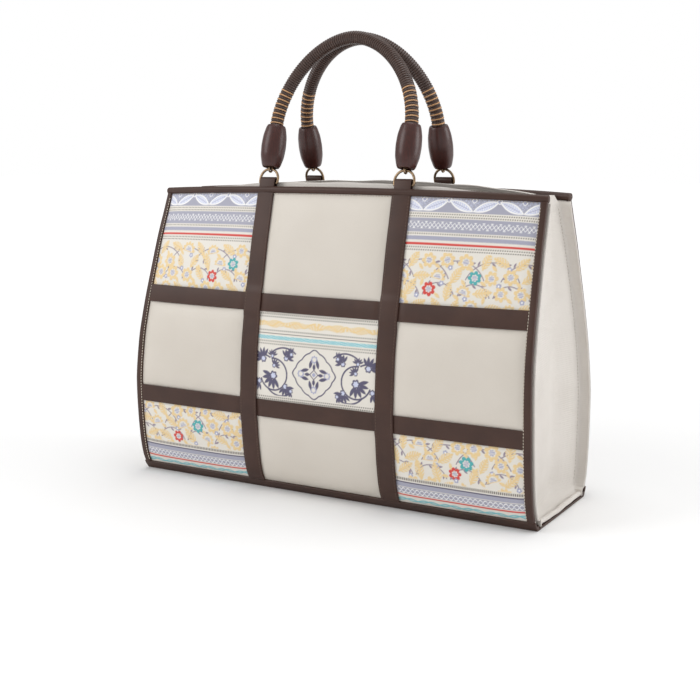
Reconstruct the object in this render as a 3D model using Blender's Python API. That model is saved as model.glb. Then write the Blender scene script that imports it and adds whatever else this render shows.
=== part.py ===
"""A patchwork tote bag with two cord-wrapped handles, built as the sewn parts of the real bag.

The front is nine padded cells, five of brocade and four of leather, covered at their seams by dark
leather strips and straps. The back has the same construction in plain leather. Light cloth gussets close
the ends. Each handle hangs from two D-rings held by leather tabs over the rim.
Sizes are in millimetres and become metres when a mesh is made. The bag stands on Z = 0, its front faces
-Y and its width runs along X.
"""

import math

import bmesh
import bpy
import numpy as np

MM = 0.001

# Overall sizes, measured on the outer face of the lining
BAG_WIDTH = 380.0
RIM_HEIGHT = 262.0
RIM_CORNER_DROP = 4.0
BASE_DEPTH = 99.0
BELLY_HEIGHT = 87.0
BELLY_DEPTH = 140.0
BELLY_DEPTH_ENDS = 135.5
MOUTH_DEPTH = 83.0
MOUTH_DEPTH_ENDS = 44.0
BOW_POWER = 2.2
RIM_NARROWING = 6.0
NARROWING_POWER = 5
SLOPE_STEP = 1.0

# Share of the way from the base depth to the belly depth, against the share of the belly height
LOWER_PROFILE = {
    "height": (0.0, 0.07, 0.2, 0.38, 0.61, 0.87, 1.0),
    "swell": (0.0, 0.31, 0.61, 0.79, 0.915, 0.99, 1.0),
}
# Share of the way from the mouth depth to the belly depth, against the share of the height above the belly
UPPER_PROFILE = {
    "height": (0.0, 0.19, 0.37, 0.55, 0.74, 0.87, 1.0),
    "fullness": (1.0, 0.945, 0.8, 0.6, 0.37, 0.18, 0.0),
}

# The gusset's soft inward fold: how deep it is and how far from the front, against its share across
GUSSET_FOLD = {
    "across": (-0.55, 0.0, 0.42, 0.66, 0.84),
    "depth": (0.22, 0.55, 0.90, 1.0, 0.62),
}

# Sheet thicknesses and the sewn clearance between one sheet and the next
GAP = 0.3
LINING_T = 1.2
PANEL_T = 1.2
STRIP_T = 1.2
STRAP_T = 1.2
TAB_T = 1.2
BINDING_T = 1.4
RIM_SKIN_T = 1.1
GUSSET_T = 1.8
BASE_T = 2.0

# The grid of straps and strips
STRAP_SPACING = 132.0
STRAP_WIDTH = 17.0
STRIP_HEIGHT = 15.0
LOWER_STRIP_Z = 74.5
UPPER_STRIP_Z = 164.0
SIDE_BINDING_WIDTH = 6.3
BOTTOM_BINDING_HEIGHT = 9.0
RIM_BINDING_HEIGHT = 6.8
RIM_INNER_HEIGHT = 2.6
RIM_TOP_T = 1.5
RIM_ROUNDING = 1.6
RIM_CROWN = 0.6
WALL_FOOT = 4.2
STRAP_RAMP = 4.0
CELL_MARGIN = 0.4

# How far a padded cell stands proud in its middle
LEATHER_CROWN = 3.0
BROCADE_CROWN = 1.6
CROWN_POWER = 3.0

# The cloth plackets inside the mouth, their height above the rim in the middle and at the ends
PLACKET_T = 1.0
PLACKET_CLEARANCE = 0.7
PLACKET_HALF_LENGTH = 172.0
PLACKET_FOOT = 14.0
PLACKET_RISE = 9.0
PLACKET_RISE_ENDS = -3.0
PLACKET_LEAN = 2.6

# The cloth gussets at the two ends
FLANGE_WIDTH = 6.0
GUSSET_HEAD_DROP = 5.0
GUSSET_VALLEY = 9.0
GUSSET_CLEARANCE = 0.8
GUSSET_FLARE_HEIGHT = 9.4

# Tabs, rings and handles
TAB_RISE = 3.6
TAB_INSIDE_LENGTH = 16.0
TAB_NARROWING = 1.0
RING_WIRE_R = 1.1
RING_SIDE_CLEARANCE = 0.4
RING_HEIGHT = 15.0
RING_CORNER_R = 1.5
EYE_WIRE_R = 0.9
EYE_LOOP_R = 2.5
EYE_STEM_R = 1.0
EYE_STEM_LENGTH = 7.0
BEAD_LENGTH = 37.0
BEAD_R = 10.3
BEAD_TOP_SOCKET = 5.0
BEAD_FOOT_RECESS = 5.0
HANDLE_R = 5.7
HANDLE_TAIL_R = 3.5
HANDLE_RISE = 129.0
HANDLE_ARCH_POWER = 1.85
HANDLE_TOUCH_GAP = 0.5
HANDLE_SIDES = 8
RING_SIDES = 5
BEAD_SIDES = 8

# Bead outline: radius as a share of BEAD_R, against the share of its length from the ring end
BEAD_OUTLINE = {
    "length": (0.0, 0.05, 0.25, 0.5, 0.75, 0.95, 1.0),
    "radius": (0.66, 0.76, 0.94, 1.0, 0.95, 0.80, 0.72),
}

COLOURS = {
    "brown_leather": ((0.062, 0.036, 0.028), 0.45, 0.0),
    "greige_leather": ((0.60, 0.56, 0.50), 0.5, 0.0),
    "brocade": ((0.66, 0.62, 0.56), 0.75, 0.0),
    "canvas": ((0.60, 0.57, 0.53), 0.85, 0.0),
    "dark_wood": ((0.075, 0.022, 0.015), 0.3, 0.0),
    "handle_cord": ((0.055, 0.032, 0.025), 0.6, 0.0),
    "antique_brass": ((0.30, 0.22, 0.14), 0.35, 1.0),
}

# Values worked out from the sizes above
HALF_WIDTH = BAG_WIDTH / 2
HALF_BASE = BASE_DEPTH / 2
STRAP_X = STRAP_SPACING / 2
PANEL_OUT = GAP + PANEL_T
STRIP_IN = PANEL_OUT + GAP
STRIP_OUT = STRIP_IN + STRIP_T
STRAP_OUT = STRIP_IN + STRAP_T
STRAP_OVER_IN = STRIP_OUT + GAP
LINING_IN = -LINING_T
INSIDE_LEG_OUT = LINING_IN - GAP
TAB_SLOT_OUT = STRIP_IN + TAB_T + GAP
RIM_OUT = TAB_SLOT_OUT + RIM_SKIN_T
EDGE_OUT = HALF_WIDTH + GAP + BINDING_T
SIDE_BINDING_X = HALF_WIDTH - SIDE_BINDING_WIDTH
TAB_HALF_WIDTH = STRAP_WIDTH / 2 - TAB_NARROWING
LOOP_IN_R = (STRIP_IN - INSIDE_LEG_OUT) / 2
LOOP_OFFSET = (STRIP_IN + INSIDE_LEG_OUT) / 2
RING_ARCH_R = TAB_HALF_WIDTH + RING_SIDE_CLEARANCE + RING_WIRE_R
RING_ARCH_U = RING_HEIGHT - 2 * RING_WIRE_R - RING_ARCH_R
RING_TOP_U = RING_ARCH_U + RING_ARCH_R
BEAD_FOOT_U = RING_TOP_U + RING_WIRE_R + GAP
BEAD_HEAD_U = BEAD_FOOT_U + BEAD_LENGTH
SOCKET_U = BEAD_HEAD_U - BEAD_TOP_SOCKET
ROUNDING = 1 / math.cos(math.pi / HANDLE_SIDES)
STRIP_HEIGHTS = {"lower": LOWER_STRIP_Z, "upper": UPPER_STRIP_Z}
SIDES = {"front": -1, "back": 1}


def eased(table_x, table_y, at):
    """Value at `at` of a smooth curve through a table: cubic pieces whose slopes never overshoot."""
    x, y = np.asarray(table_x), np.asarray(table_y)
    steps = np.diff(y) / np.diff(x)
    slope = np.zeros(len(x))
    same_way = steps[:-1] * steps[1:] > 0
    pair_sum = np.where(same_way, steps[:-1] + steps[1:], 1.0)
    slope[1:-1] = np.where(same_way, 2 * steps[:-1] * steps[1:] / pair_sum, 0.0)
    slope[0] = steps[0] if y[0] == 0.0 else 0.0
    slope[-1] = steps[-1] if y[-1] == 0.0 else 0.0
    at = min(max(at, 0.0), 1.0)
    i = min(int(np.searchsorted(x, at, side="right")) - 1, len(x) - 2)
    width = x[i + 1] - x[i]
    t = (at - x[i]) / width
    rise = y[i] * (1 + 2 * t) * (1 - t) ** 2 + y[i + 1] * t * t * (3 - 2 * t)
    return float(rise + width * (slope[i] * t * (1 - t) ** 2 - slope[i + 1] * t * t * (1 - t)))


def bowed(middle, ends, x):
    """A size that is `middle` at the bag's middle and falls to `ends` at its ends."""
    return ends + (middle - ends) * (1 - abs(x / HALF_WIDTH) ** BOW_POWER)


def rim_height(x):
    """Height of the rim, which droops a little towards the corners."""
    return bowed(RIM_HEIGHT, RIM_HEIGHT - RIM_CORNER_DROP, x)


def half_depth(x, z):
    """Distance of the wall's lining face from the middle plane."""
    belly = bowed(BELLY_DEPTH, BELLY_DEPTH_ENDS, x) / 2
    if z <= BELLY_HEIGHT:
        swell = eased(LOWER_PROFILE["height"], LOWER_PROFILE["swell"], z / BELLY_HEIGHT)
        return HALF_BASE + (belly - HALF_BASE) * swell
    mouth = bowed(MOUTH_DEPTH, MOUTH_DEPTH_ENDS, x) / 2
    share = (z - BELLY_HEIGHT) / (RIM_HEIGHT - BELLY_HEIGHT)
    fullness = eased(UPPER_PROFILE["height"], UPPER_PROFILE["fullness"], share)
    return mouth + (belly - mouth) * fullness


def depth_slopes(x, z):
    """How fast half_depth changes along x and along z."""
    step = SLOPE_STEP / 2
    along_x = (half_depth(x + step, z) - half_depth(x - step, z)) / SLOPE_STEP
    z = min(max(z, step), RIM_HEIGHT - step)
    along_z = (half_depth(x, z + step) - half_depth(x, z - step)) / SLOPE_STEP
    return along_x, along_z


def wall_normal(side, x, z):
    """Unit vector out of the wall of one side, front (-1) or back (1)."""
    along_x, along_z = depth_slopes(x, z)
    normal = np.array([-along_x, side, -along_z])
    return normal / np.linalg.norm(normal)


def end_narrowing(z):
    """How much nearer to the middle the bag's ends are at height z than at the belly."""
    share = (z - BELLY_HEIGHT) / (RIM_HEIGHT - BELLY_HEIGHT)
    return RIM_NARROWING * min(max(share, 0.0), 1.0)


def on_wall(side, x, z, offset):
    """Point `offset` outside the lining's outer face, at width x and height z."""
    pull = end_narrowing(z) * abs(x / HALF_WIDTH) ** NARROWING_POWER
    face = np.array([x - math.copysign(pull, x), side * half_depth(x, z), z])
    return face + offset * wall_normal(side, x, z)


def spread(low, high, shares=(1 / 3, 2 / 3)):
    """The two ends of a stretch and the points at the given shares between them."""
    return [low] + [low + share * (high - low) for share in shares] + [high]


# Widths and heights where the wall is creased, shared by every sheet so that their facets stay parallel
STRAP_EDGE = STRAP_WIDTH / 2 + CELL_MARGIN
MIDDLE_COLUMN = spread(-STRAP_X + STRAP_EDGE, STRAP_X - STRAP_EDGE)
RIGHT_COLUMN = spread(STRAP_X + STRAP_EDGE, SIDE_BINDING_X - CELL_MARGIN)
LEFT_COLUMN = [-x for x in reversed(RIGHT_COLUMN)]
STRIP_EDGE = STRIP_HEIGHT / 2 + CELL_MARGIN
BOTTOM_ROW = spread(BOTTOM_BINDING_HEIGHT + CELL_MARGIN, LOWER_STRIP_Z - STRIP_EDGE, (0.22, 0.58))
MIDDLE_ROW = spread(LOWER_STRIP_Z + STRIP_EDGE, UPPER_STRIP_Z - STRIP_EDGE)


def top_row(x):
    """Heights of the creases in the top row, whose upper edge follows the rim."""
    return spread(UPPER_STRIP_Z + STRIP_EDGE, rim_height(x) - RIM_BINDING_HEIGHT - CELL_MARGIN)


def wall_top(x):
    """Height where lining and cells end, under the rim binding."""
    return rim_height(x) - RIM_TOP_T + GAP


def wall_heights(x):
    """Every crease height of the whole wall at width x."""
    return [WALL_FOOT, *BOTTOM_ROW, *MIDDLE_ROW, *top_row(x), wall_top(x)]


WALL_WIDTHS = [-HALF_WIDTH, *LEFT_COLUMN, -STRAP_X, *MIDDLE_COLUMN, STRAP_X, *RIGHT_COLUMN, HALF_WIDTH]


def material(kind):
    """The Principled material of one finish, made once."""
    found = bpy.data.materials.get(kind)
    if found:
        return found
    colour, roughness, metallic = COLOURS[kind]
    made = bpy.data.materials.new(kind)
    made.use_nodes = True
    shader = made.node_tree.nodes["Principled BSDF"]
    shader.inputs["Base Color"].default_value = (*colour, 1.0)
    shader.inputs["Roughness"].default_value = roughness
    shader.inputs["Metallic"].default_value = metallic
    return made


def solid(name, kind, points, faces, smooth=True):
    """An object from points in millimetres and faces, with its normals turned outwards."""
    mesh = bpy.data.meshes.new(name)
    mesh.from_pydata([tuple(p * MM for p in point) for point in points], [], faces)
    shape = bmesh.new()
    shape.from_mesh(mesh)
    bmesh.ops.recalc_face_normals(shape, faces=shape.faces[:])
    shape.to_mesh(mesh)
    shape.free()
    if smooth:
        mesh.shade_smooth()
        mesh.set_sharp_from_angle(angle=math.radians(40))
    mesh.materials.append(material(kind))
    made = bpy.data.objects.new(name, mesh)
    bpy.context.scene.collection.objects.link(made)
    return made


def thick_sheet(name, kind, outer, inner):
    """A closed sheet between two grids of points, with the same diagonals on both faces."""
    outer, inner = np.asarray(outer), np.asarray(inner)
    rows, columns = outer.shape[:2]
    points = np.concatenate([outer.reshape(-1, 3), inner.reshape(-1, 3)])
    back = rows * columns

    def at(i, j):
        return i * columns + j

    faces = []
    for i in range(rows - 1):
        for j in range(columns - 1):
            for a, b, c in (((i, j), (i, j + 1), (i + 1, j + 1)), ((i, j), (i + 1, j + 1), (i + 1, j))):
                faces.append((at(*a), at(*b), at(*c)))
                faces.append((back + at(*c), back + at(*b), back + at(*a)))
    rim = [at(0, j) for j in range(columns)]
    rim += [at(i, columns - 1) for i in range(1, rows)]
    rim += [at(rows - 1, j) for j in reversed(range(columns - 1))]
    rim += [at(i, 0) for i in reversed(range(1, rows - 1))]
    for a, b in zip(rim, rim[1:] + rim[:1]):
        faces.append((b, a, back + a, back + b))
    return solid(name, kind, points, faces)


def loft(name, kind, rings, closed=False):
    """A solid through a list of rings of points, with flat ends or joined end to start."""
    count, size = len(rings), len(rings[0])
    points = [p for ring in rings for p in ring]
    faces = []
    for i in range(count if closed else count - 1):
        here, there = i * size, (i + 1) % count * size
        for j in range(size):
            k = (j + 1) % size
            faces.append((here + j, here + k, there + k, there + j))
    if not closed:
        faces.append(tuple(reversed(range(size))))
        faces.append(tuple(range((count - 1) * size, count * size)))
    return solid(name, kind, points, faces)


def union(target, other):
    """Joins another closed solid to target and removes it."""
    joint = target.modifiers.new("union", "BOOLEAN")
    joint.operation = "UNION"
    joint.object = other
    apply_modifiers(target)
    bpy.data.objects.remove(other)


def apply_modifiers(target):
    """Replaces an object's mesh by its evaluated one."""
    bpy.context.view_layer.update()
    graph = bpy.context.evaluated_depsgraph_get()
    mesh = bpy.data.meshes.new_from_object(target.evaluated_get(graph))
    target.modifiers.clear()
    target.data = mesh


def sheet_on_wall(name, kind, side, widths, heights, inner, outer):
    """A sheet on one wall. heights(x) gives its crease heights, and inner and outer its faces' offsets."""
    grids = []
    for offset in (outer, inner):
        grids.append([[on_wall(side, x, z, offset(x, z)) for z in heights(x)] for x in widths])
    return thick_sheet(name, kind, *grids)


def level(value):
    """An offset that is the same all over."""
    return lambda x, z: value


# Lining: one light sheet inside each wall, the face that shows inside the mouth
def build_lining(label, side):
    sheet_on_wall(
        f"{label}_lining", "canvas", side, WALL_WIDTHS, wall_heights, level(LINING_IN), level(0.0)
    )


# Cells: nine padded pieces, flat where strips, straps and bindings cover them and crowned between
COLUMNS = {
    "left": (-HALF_WIDTH, LEFT_COLUMN, -STRAP_X - GAP / 2),
    "middle": (-STRAP_X + GAP / 2, MIDDLE_COLUMN, STRAP_X - GAP / 2),
    "right": (STRAP_X + GAP / 2, RIGHT_COLUMN, HALF_WIDTH),
}
ROWS = ("bottom", "middle", "top")


def row_heights(row, x):
    """Crease heights of one row of cells at width x: its lower edge, its four inner creases, its top."""
    if row == "bottom":
        return [WALL_FOOT, *BOTTOM_ROW, LOWER_STRIP_Z - GAP / 2]
    if row == "middle":
        return [LOWER_STRIP_Z + GAP / 2, *MIDDLE_ROW, UPPER_STRIP_Z - GAP / 2]
    return [UPPER_STRIP_Z + GAP / 2, *top_row(x), wall_top(x)]


def bump(at, low, high):
    """1 in the middle of a stretch, falling to 0 at its ends."""
    share = (at - low) / (high - low)
    return max(0.0, 1 - abs(2 * share - 1) ** CROWN_POWER) if 0 < share < 1 else 0.0


def build_cells(label, side):
    for column, (left, creases, right) in COLUMNS.items():
        for row in ROWS:
            brocade = side < 0 and (column == "middle") == (row == "middle")
            kind, crown = ("brocade", BROCADE_CROWN) if brocade else ("greige_leather", LEATHER_CROWN)
            finish = "brocade" if brocade else "leather"

            def outer(x, z, row=row, creases=creases, crown=crown):
                heights = row_heights(row, x)
                rise = bump(x, creases[0], creases[-1]) * bump(z, heights[1], heights[-2])
                return PANEL_OUT + crown * rise

            sheet_on_wall(
                f"{label}_{finish}_{row}_{column}",
                kind,
                side,
                [left, *creases, right],
                lambda x, row=row: row_heights(row, x),
                level(GAP),
                outer,
            )


# Strips: dark leather bands across the whole width, over the seams between the rows
def build_strips(label, side):
    inner_widths = [x for x in WALL_WIDTHS if abs(x) < SIDE_BINDING_X - CELL_MARGIN / 2]
    end = SIDE_BINDING_X - GAP
    widths = [-end, *inner_widths[1:-1], end]
    for place, middle in STRIP_HEIGHTS.items():
        heights = [middle - STRIP_HEIGHT / 2, middle + STRIP_HEIGHT / 2]
        sheet_on_wall(
            f"{label}_strip_{place}",
            "brown_leather",
            side,
            widths,
            lambda x, heights=heights: heights,
            level(STRIP_IN),
            level(STRIP_OUT),
        )


# Straps: dark leather bands from base to rim, over the seams between the columns and over the strips
def strap_heights(x):
    """Crease heights of a strap, with the ramps where it climbs over each strip."""
    climb = []
    for middle in STRIP_HEIGHTS.values():
        for way in (-1, 1):
            edge = middle + way * STRIP_EDGE
            climb += [edge, edge + way * STRAP_RAMP]
    rows = [*BOTTOM_ROW[1:3], *MIDDLE_ROW[1:3], *top_row(x)[1:3]]
    foot = BOTTOM_BINDING_HEIGHT + GAP
    head = rim_height(x) - RIM_BINDING_HEIGHT - 1.5 * GAP
    return sorted([foot, *rows, *climb, head])


def over_strips(z):
    """True on the stretch of a strap that lies on a strip."""
    return any(abs(z - middle) < STRIP_EDGE + GAP / 2 for middle in STRIP_HEIGHTS.values())


def build_straps(label, side):
    lift = STRAP_OVER_IN - STRIP_IN
    for place, way in (("left", -1), ("right", 1)):
        middle = way * STRAP_X
        sheet_on_wall(
            f"{label}_strap_{place}",
            "brown_leather",
            side,
            [middle - STRAP_WIDTH / 2, middle + STRAP_WIDTH / 2],
            strap_heights,
            lambda x, z: STRIP_IN + lift * over_strips(z),
            lambda x, z: STRAP_OUT + lift * over_strips(z),
        )


# Side bindings: folded dark leather over each wall's two upright edges
def build_side_bindings(label, side):
    front = STRIP_IN + BINDING_T
    corner = BINDING_T / 3
    for place, way in (("left", -1), ("right", 1)):
        section = [
            (SIDE_BINDING_X, STRIP_IN),
            (SIDE_BINDING_X, front - corner),
            (SIDE_BINDING_X + corner, front),
            (EDGE_OUT - corner, front),
            (EDGE_OUT, front - 2 * corner),
            (EDGE_OUT, LINING_IN),
            (HALF_WIDTH + GAP, LINING_IN),
            (HALF_WIDTH + GAP, STRIP_IN),
        ]
        heights = wall_heights(HALF_WIDTH)[1:-1]
        heights[0] = BOTTOM_BINDING_HEIGHT + GAP
        heights[-1] = rim_height(HALF_WIDTH) - RIM_BINDING_HEIGHT - GAP
        rings = [[on_wall(side, way * x, z, offset) for x, offset in section] for z in heights]
        loft(f"{label}_binding_{place}", "brown_leather", rings)


# Bottom binding: the dark welt along the base, which holds the foot of the wall
def build_bottom_binding(label, side):
    front = STRIP_IN + BINDING_T
    base_edge = side * (HALF_BASE + GAP)
    seat = WALL_FOOT - GAP
    rings = []
    for x in [-EDGE_OUT, *WALL_WIDTHS[1:-1], EDGE_OUT]:
        under = on_wall(side, x, seat, front)
        inside = on_wall(side, x, seat, INSIDE_LEG_OUT)
        rings.append(
            [
                np.array([x, base_edge, 0.0]),
                np.array([x, under[1] - side * front / 2, 0.0]),
                np.array([x, under[1], under[2]]),
                on_wall(side, x, (seat + BOTTOM_BINDING_HEIGHT) / 2, front),
                on_wall(side, x, BOTTOM_BINDING_HEIGHT, front),
                on_wall(side, x, BOTTOM_BINDING_HEIGHT, STRIP_IN),
                on_wall(side, x, seat, STRIP_IN),
                inside,
                np.array([x, base_edge, inside[2]]),
            ]
        )
    loft(f"{label}_binding_bottom", "brown_leather", rings)


# Rim binding: a rounded roll over the top edge, slotted where the two tabs come up through it
def build_rim_binding(label, side):
    top = RIM_TOP_T - GAP - GAP
    inside = INSIDE_LEG_OUT - RIM_SKIN_T
    full = -RIM_BINDING_HEIGHT
    slot = TAB_SLOT_OUT
    outer = [(full, slot), (full + RIM_ROUNDING, RIM_OUT), (-RIM_ROUNDING, RIM_OUT)]
    outer += [(RIM_CROWN, slot), (RIM_CROWN, inside + RIM_ROUNDING), (-RIM_INNER_HEIGHT, inside)]
    inner = [(full, STRIP_IN), (full + RIM_ROUNDING, STRIP_IN), (-RIM_ROUNDING, STRIP_IN)]
    inner += [(-top, STRIP_IN), (-top, INSIDE_LEG_OUT), (-RIM_INNER_HEIGHT, INSIDE_LEG_OUT)]
    widths = [-EDGE_OUT, *WALL_WIDTHS[1:-1], EDGE_OUT]
    grids = []
    for path in (outer, inner):
        grids.append([[on_rim(side, x, rise, offset) for rise, offset in path] for x in widths])
    binding = thick_sheet(f"{label}_binding_rim", "brown_leather", *grids)
    for way in (-1, 1):
        cut_tab_slot(binding, side, way * STRAP_X)


def on_rim(side, x, rise, offset):
    """Point near the rim: rise is measured up from the rim, along the wall's slope there."""
    top = rim_height(x)
    if rise <= 0:
        return on_wall(side, x, top + rise, offset)
    return on_wall(side, x, top, offset) + rise * rim_direction(side, x)


def rim_direction(side, x):
    """Unit vector up the wall at the rim."""
    slope = depth_slopes(x, rim_height(x))[1]
    up = np.array([0.0, side * slope, 1.0])
    return up / np.linalg.norm(up)


def cut_tab_slot(binding, side, middle):
    """Cuts the slot for one tab through the roll, leaving its outer skin whole."""
    reach = RIM_BINDING_HEIGHT + 4 * GAP
    grids = []
    for offset in (TAB_SLOT_OUT, INSIDE_LEG_OUT - 4 * RIM_SKIN_T):
        widths = (middle - TAB_HALF_WIDTH - GAP, middle + TAB_HALF_WIDTH + GAP)
        rises = (-reach, -RIM_TOP_T, reach)
        grids.append([[on_rim(side, x, rise, offset) for rise in rises] for x in widths])
    cutter = thick_sheet("slot_cutter", "brown_leather", *grids)
    cut = binding.modifiers.new("slot", "BOOLEAN")
    cut.operation = "DIFFERENCE"
    cut.object = cutter
    apply_modifiers(binding)
    bpy.data.objects.remove(cutter)


# Plackets: a light cloth strip sewn inside each wall under the tabs, standing up past the rim
def build_placket(label, side):
    seat = LINING_IN - PLACKET_CLEARANCE
    past_tab = INSIDE_LEG_OUT - TAB_T - GAP
    under_tab = -TAB_INSIDE_LENGTH - GAP
    grids = [[], []]
    for x in [-PLACKET_HALF_LENGTH, *WALL_WIDTHS[2:-2], PLACKET_HALF_LENGTH]:
        head = bowed(PLACKET_RISE, PLACKET_RISE_ENDS, x)
        path = [
            (under_tab - PLACKET_FOOT, seat),
            (under_tab - TAB_T, seat),
            (under_tab, past_tab),
            (-RIM_BINDING_HEIGHT, past_tab),
            (head, past_tab - PLACKET_LEAN),
        ]
        for grid, depth in zip(grids, (0.0, PLACKET_T)):
            grid.append([on_rim(side, x, rise, offset - depth) for rise, offset in path])
    thick_sheet(f"{label}_placket", "canvas", *grids)


# Gussets: a light cloth end with outward flanges behind each wall's edge and a flare onto the base
def gusset_section(z, root, limit):
    """Outer and inner points across a gusset at height z, for the +X end."""
    depth = half_depth(HALF_WIDTH, z)
    slant = math.hypot(1.0, depth_slopes(HALF_WIDTH, z)[1])
    leg = LINING_IN - GUSSET_CLEARANCE
    outside = min(depth + leg * slant, limit)
    inside = min(depth + (leg - GUSSET_T) * slant, limit - GUSSET_T)
    valley = GUSSET_VALLEY * (1 - z / RIM_HEIGHT / 2) * min(1.0, z / GUSSET_FLARE_HEIGHT / 2)
    outer = [(EDGE_OUT, -inside), (root + GUSSET_T / 3, -inside)]
    inner = [(EDGE_OUT, -outside), (root - GUSSET_T, -outside)]
    for across, share in zip(GUSSET_FOLD["across"], GUSSET_FOLD["depth"]):
        x = root - valley * share
        outer.append((x, across * inside))
        inner.append((x - GUSSET_T, across * inside))
    outer += [(root + GUSSET_T / 3, inside), (EDGE_OUT, inside)]
    inner += [(root - GUSSET_T, outside), (EDGE_OUT, outside)]
    return outer, inner


def build_gusset(label, way):
    root = HALF_WIDTH - FLANGE_WIDTH
    foot = BASE_T + GAP
    flare = EDGE_OUT - GUSSET_T / 2 - root
    limit = HALF_BASE - GAP
    levels = []
    for share, kick in ((0.0, 1.0), (0.25, 0.75), (0.45, 0.45)):
        z = foot + share * (GUSSET_FLARE_HEIGHT - foot)
        levels.append((z, root + kick * flare, limit))
    head = rim_height(HALF_WIDTH) - GUSSET_HEAD_DROP
    rows = [z for z in wall_heights(HALF_WIDTH)[1:-1:2] if z < head]
    levels += [(z, root, BAG_WIDTH) for z in [*rows, head]]
    outer, inner = [], []
    for z, web, most in levels:
        for grid, path in zip((outer, inner), gusset_section(z, web, most)):
            grid.append([np.array([way * (x - end_narrowing(z)), y, z]) for x, y in path])
    thick_sheet(f"gusset_{label}", "canvas", outer, inner)


# Base: one flat piece of dark leather that the bag stands on
def build_base():
    corners = [(-1, -1), (1, -1), (1, 1), (-1, 1)]
    rings = []
    for z in (0.0, BASE_T):
        rings.append([np.array([sx * EDGE_OUT, sy * HALF_BASE, z]) for sx, sy in corners])
    loft("base", "brown_leather", rings)


# Tabs: a leather loop over the rim at each strap, its legs sewn outside and inside the wall
def tab_loop_centre(side, middle):
    """Axis point of the ring's bar, held in the tab's loop above the rim."""
    return on_rim(side, middle, TAB_RISE, LOOP_OFFSET)


def build_tab(label, side, place, way):
    middle = way * STRAP_X
    centre = tab_loop_centre(side, middle)
    up = rim_direction(side, middle)
    out = wall_normal(side, middle, rim_height(middle))
    out[0] = 0.0
    out /= np.linalg.norm(out)
    foot = -RIM_BINDING_HEIGHT - GAP / 2
    grids = []
    for leg_out, leg_in, radius in (
        (STRIP_IN + TAB_T, INSIDE_LEG_OUT - TAB_T, LOOP_IN_R + TAB_T),
        (STRIP_IN, INSIDE_LEG_OUT, LOOP_IN_R),
    ):
        grid = []
        for x in (middle - TAB_HALF_WIDTH, middle + TAB_HALF_WIDTH):
            path = [on_rim(side, x, rise, leg_out) for rise in (foot, -RIM_TOP_T)]
            for k in range(9):
                turn = math.pi * k / 8
                point = centre + radius * (math.cos(turn) * out + math.sin(turn) * up)
                path.append(np.array([x, point[1], point[2]]))
            path += [on_rim(side, x, rise, leg_in) for rise in (-RIM_TOP_T, foot, -TAB_INSIDE_LENGTH)]
            grid.append(path)
        grids.append(grid)
    thick_sheet(f"{label}_tab_{place}", "brown_leather", *grids)


# Handles: each stands in a plane through its two ring bars and leans in until both handles meet
class HandlePlane:
    """Maps points of a handle's own plane, x across and u up from the ring bars, to the bag."""

    def __init__(self, side):
        pivot = tab_loop_centre(side, STRAP_X)
        reach = abs(pivot[1]) - HANDLE_R - HANDLE_TOUCH_GAP / 2
        lean = math.asin(reach / HANDLE_RISE)
        self.pivot = pivot
        self.up = np.array([0.0, -side * math.sin(lean), math.cos(lean)])
        self.out = np.array([0.0, side * math.cos(lean), math.sin(lean)])

    def at(self, x, u, out=0.0):
        base = np.array([x, self.pivot[1], self.pivot[2]])
        return base + u * self.up + out * self.out


def tube_rings(plane, path, radii, sides, closed=False):
    """Rings of points round a path of (x, u) points in a handle's plane."""
    path = np.asarray(path)
    if closed:
        ahead, behind = np.roll(path, -1, axis=0), np.roll(path, 1, axis=0)
    else:
        ahead = np.vstack([path[1:], path[-1:]])
        behind = np.vstack([path[:1], path[:-1]])
    along = ahead - behind
    along = along / np.linalg.norm(along, axis=1)[:, None]
    rings = []
    for (x, u), (dx, du), radius in zip(path, along, radii):
        ring = []
        for k in range(sides):
            turn = 2 * math.pi * (k + 0.5) / sides
            across, out = radius * math.cos(turn), radius * math.sin(turn)
            ring.append(plane.at(x + across * du, u - across * dx, out))
        rings.append(ring)
    return rings


def build_ring(label, plane, place, way):
    """D-ring: a straight bar in the tab's loop, two rounded corners and a half-round arch."""
    middle = way * STRAP_X
    half_bar = RING_ARCH_R - RING_CORNER_R
    path = []
    for k in range(3):
        turn = math.pi / 2 * (k / 2 - 1)
        path.append((half_bar + RING_CORNER_R * math.cos(turn), RING_CORNER_R * (1 + math.sin(turn))))
    for k in range(9):
        turn = math.pi * k / 8
        path.append((RING_ARCH_R * math.cos(turn), RING_ARCH_U + RING_ARCH_R * math.sin(turn)))
    for k in range(3):
        turn = math.pi / 2 * (k / 2 + 2)
        path.append((-half_bar + RING_CORNER_R * math.cos(turn), RING_CORNER_R * (1 + math.sin(turn))))
    path = [(middle + x, u) for x, u in path]
    rings = tube_rings(plane, path, [RING_WIRE_R] * len(path), RING_SIDES, closed=True)
    loft(f"{label}_ring_{place}", "antique_brass", rings, closed=True)


def build_eye(label, plane, place, way):
    """Eye: a small wire loop round the ring's arch, with a stem up into the bead."""
    middle = way * STRAP_X
    count, sides = 8, 5
    rings = []
    for i in range(count):
        turn = 2 * math.pi * i / count
        ring = []
        for k in range(sides):
            roll = 2 * math.pi * k / sides
            reach = EYE_LOOP_R + EYE_WIRE_R * math.cos(roll)
            x = middle + EYE_WIRE_R * math.sin(roll)
            ring.append(plane.at(x, RING_TOP_U + reach * math.sin(turn), reach * math.cos(turn)))
        rings.append(ring)
    eye = loft(f"{label}_eye_{place}", "antique_brass", rings, closed=True)
    foot = RING_TOP_U + EYE_LOOP_R
    stem_path = [(middle, foot), (middle, foot + EYE_STEM_LENGTH)]
    union(eye, loft("eye_stem", "antique_brass", tube_rings(plane, stem_path, [EYE_STEM_R] * 2, sides)))


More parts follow.
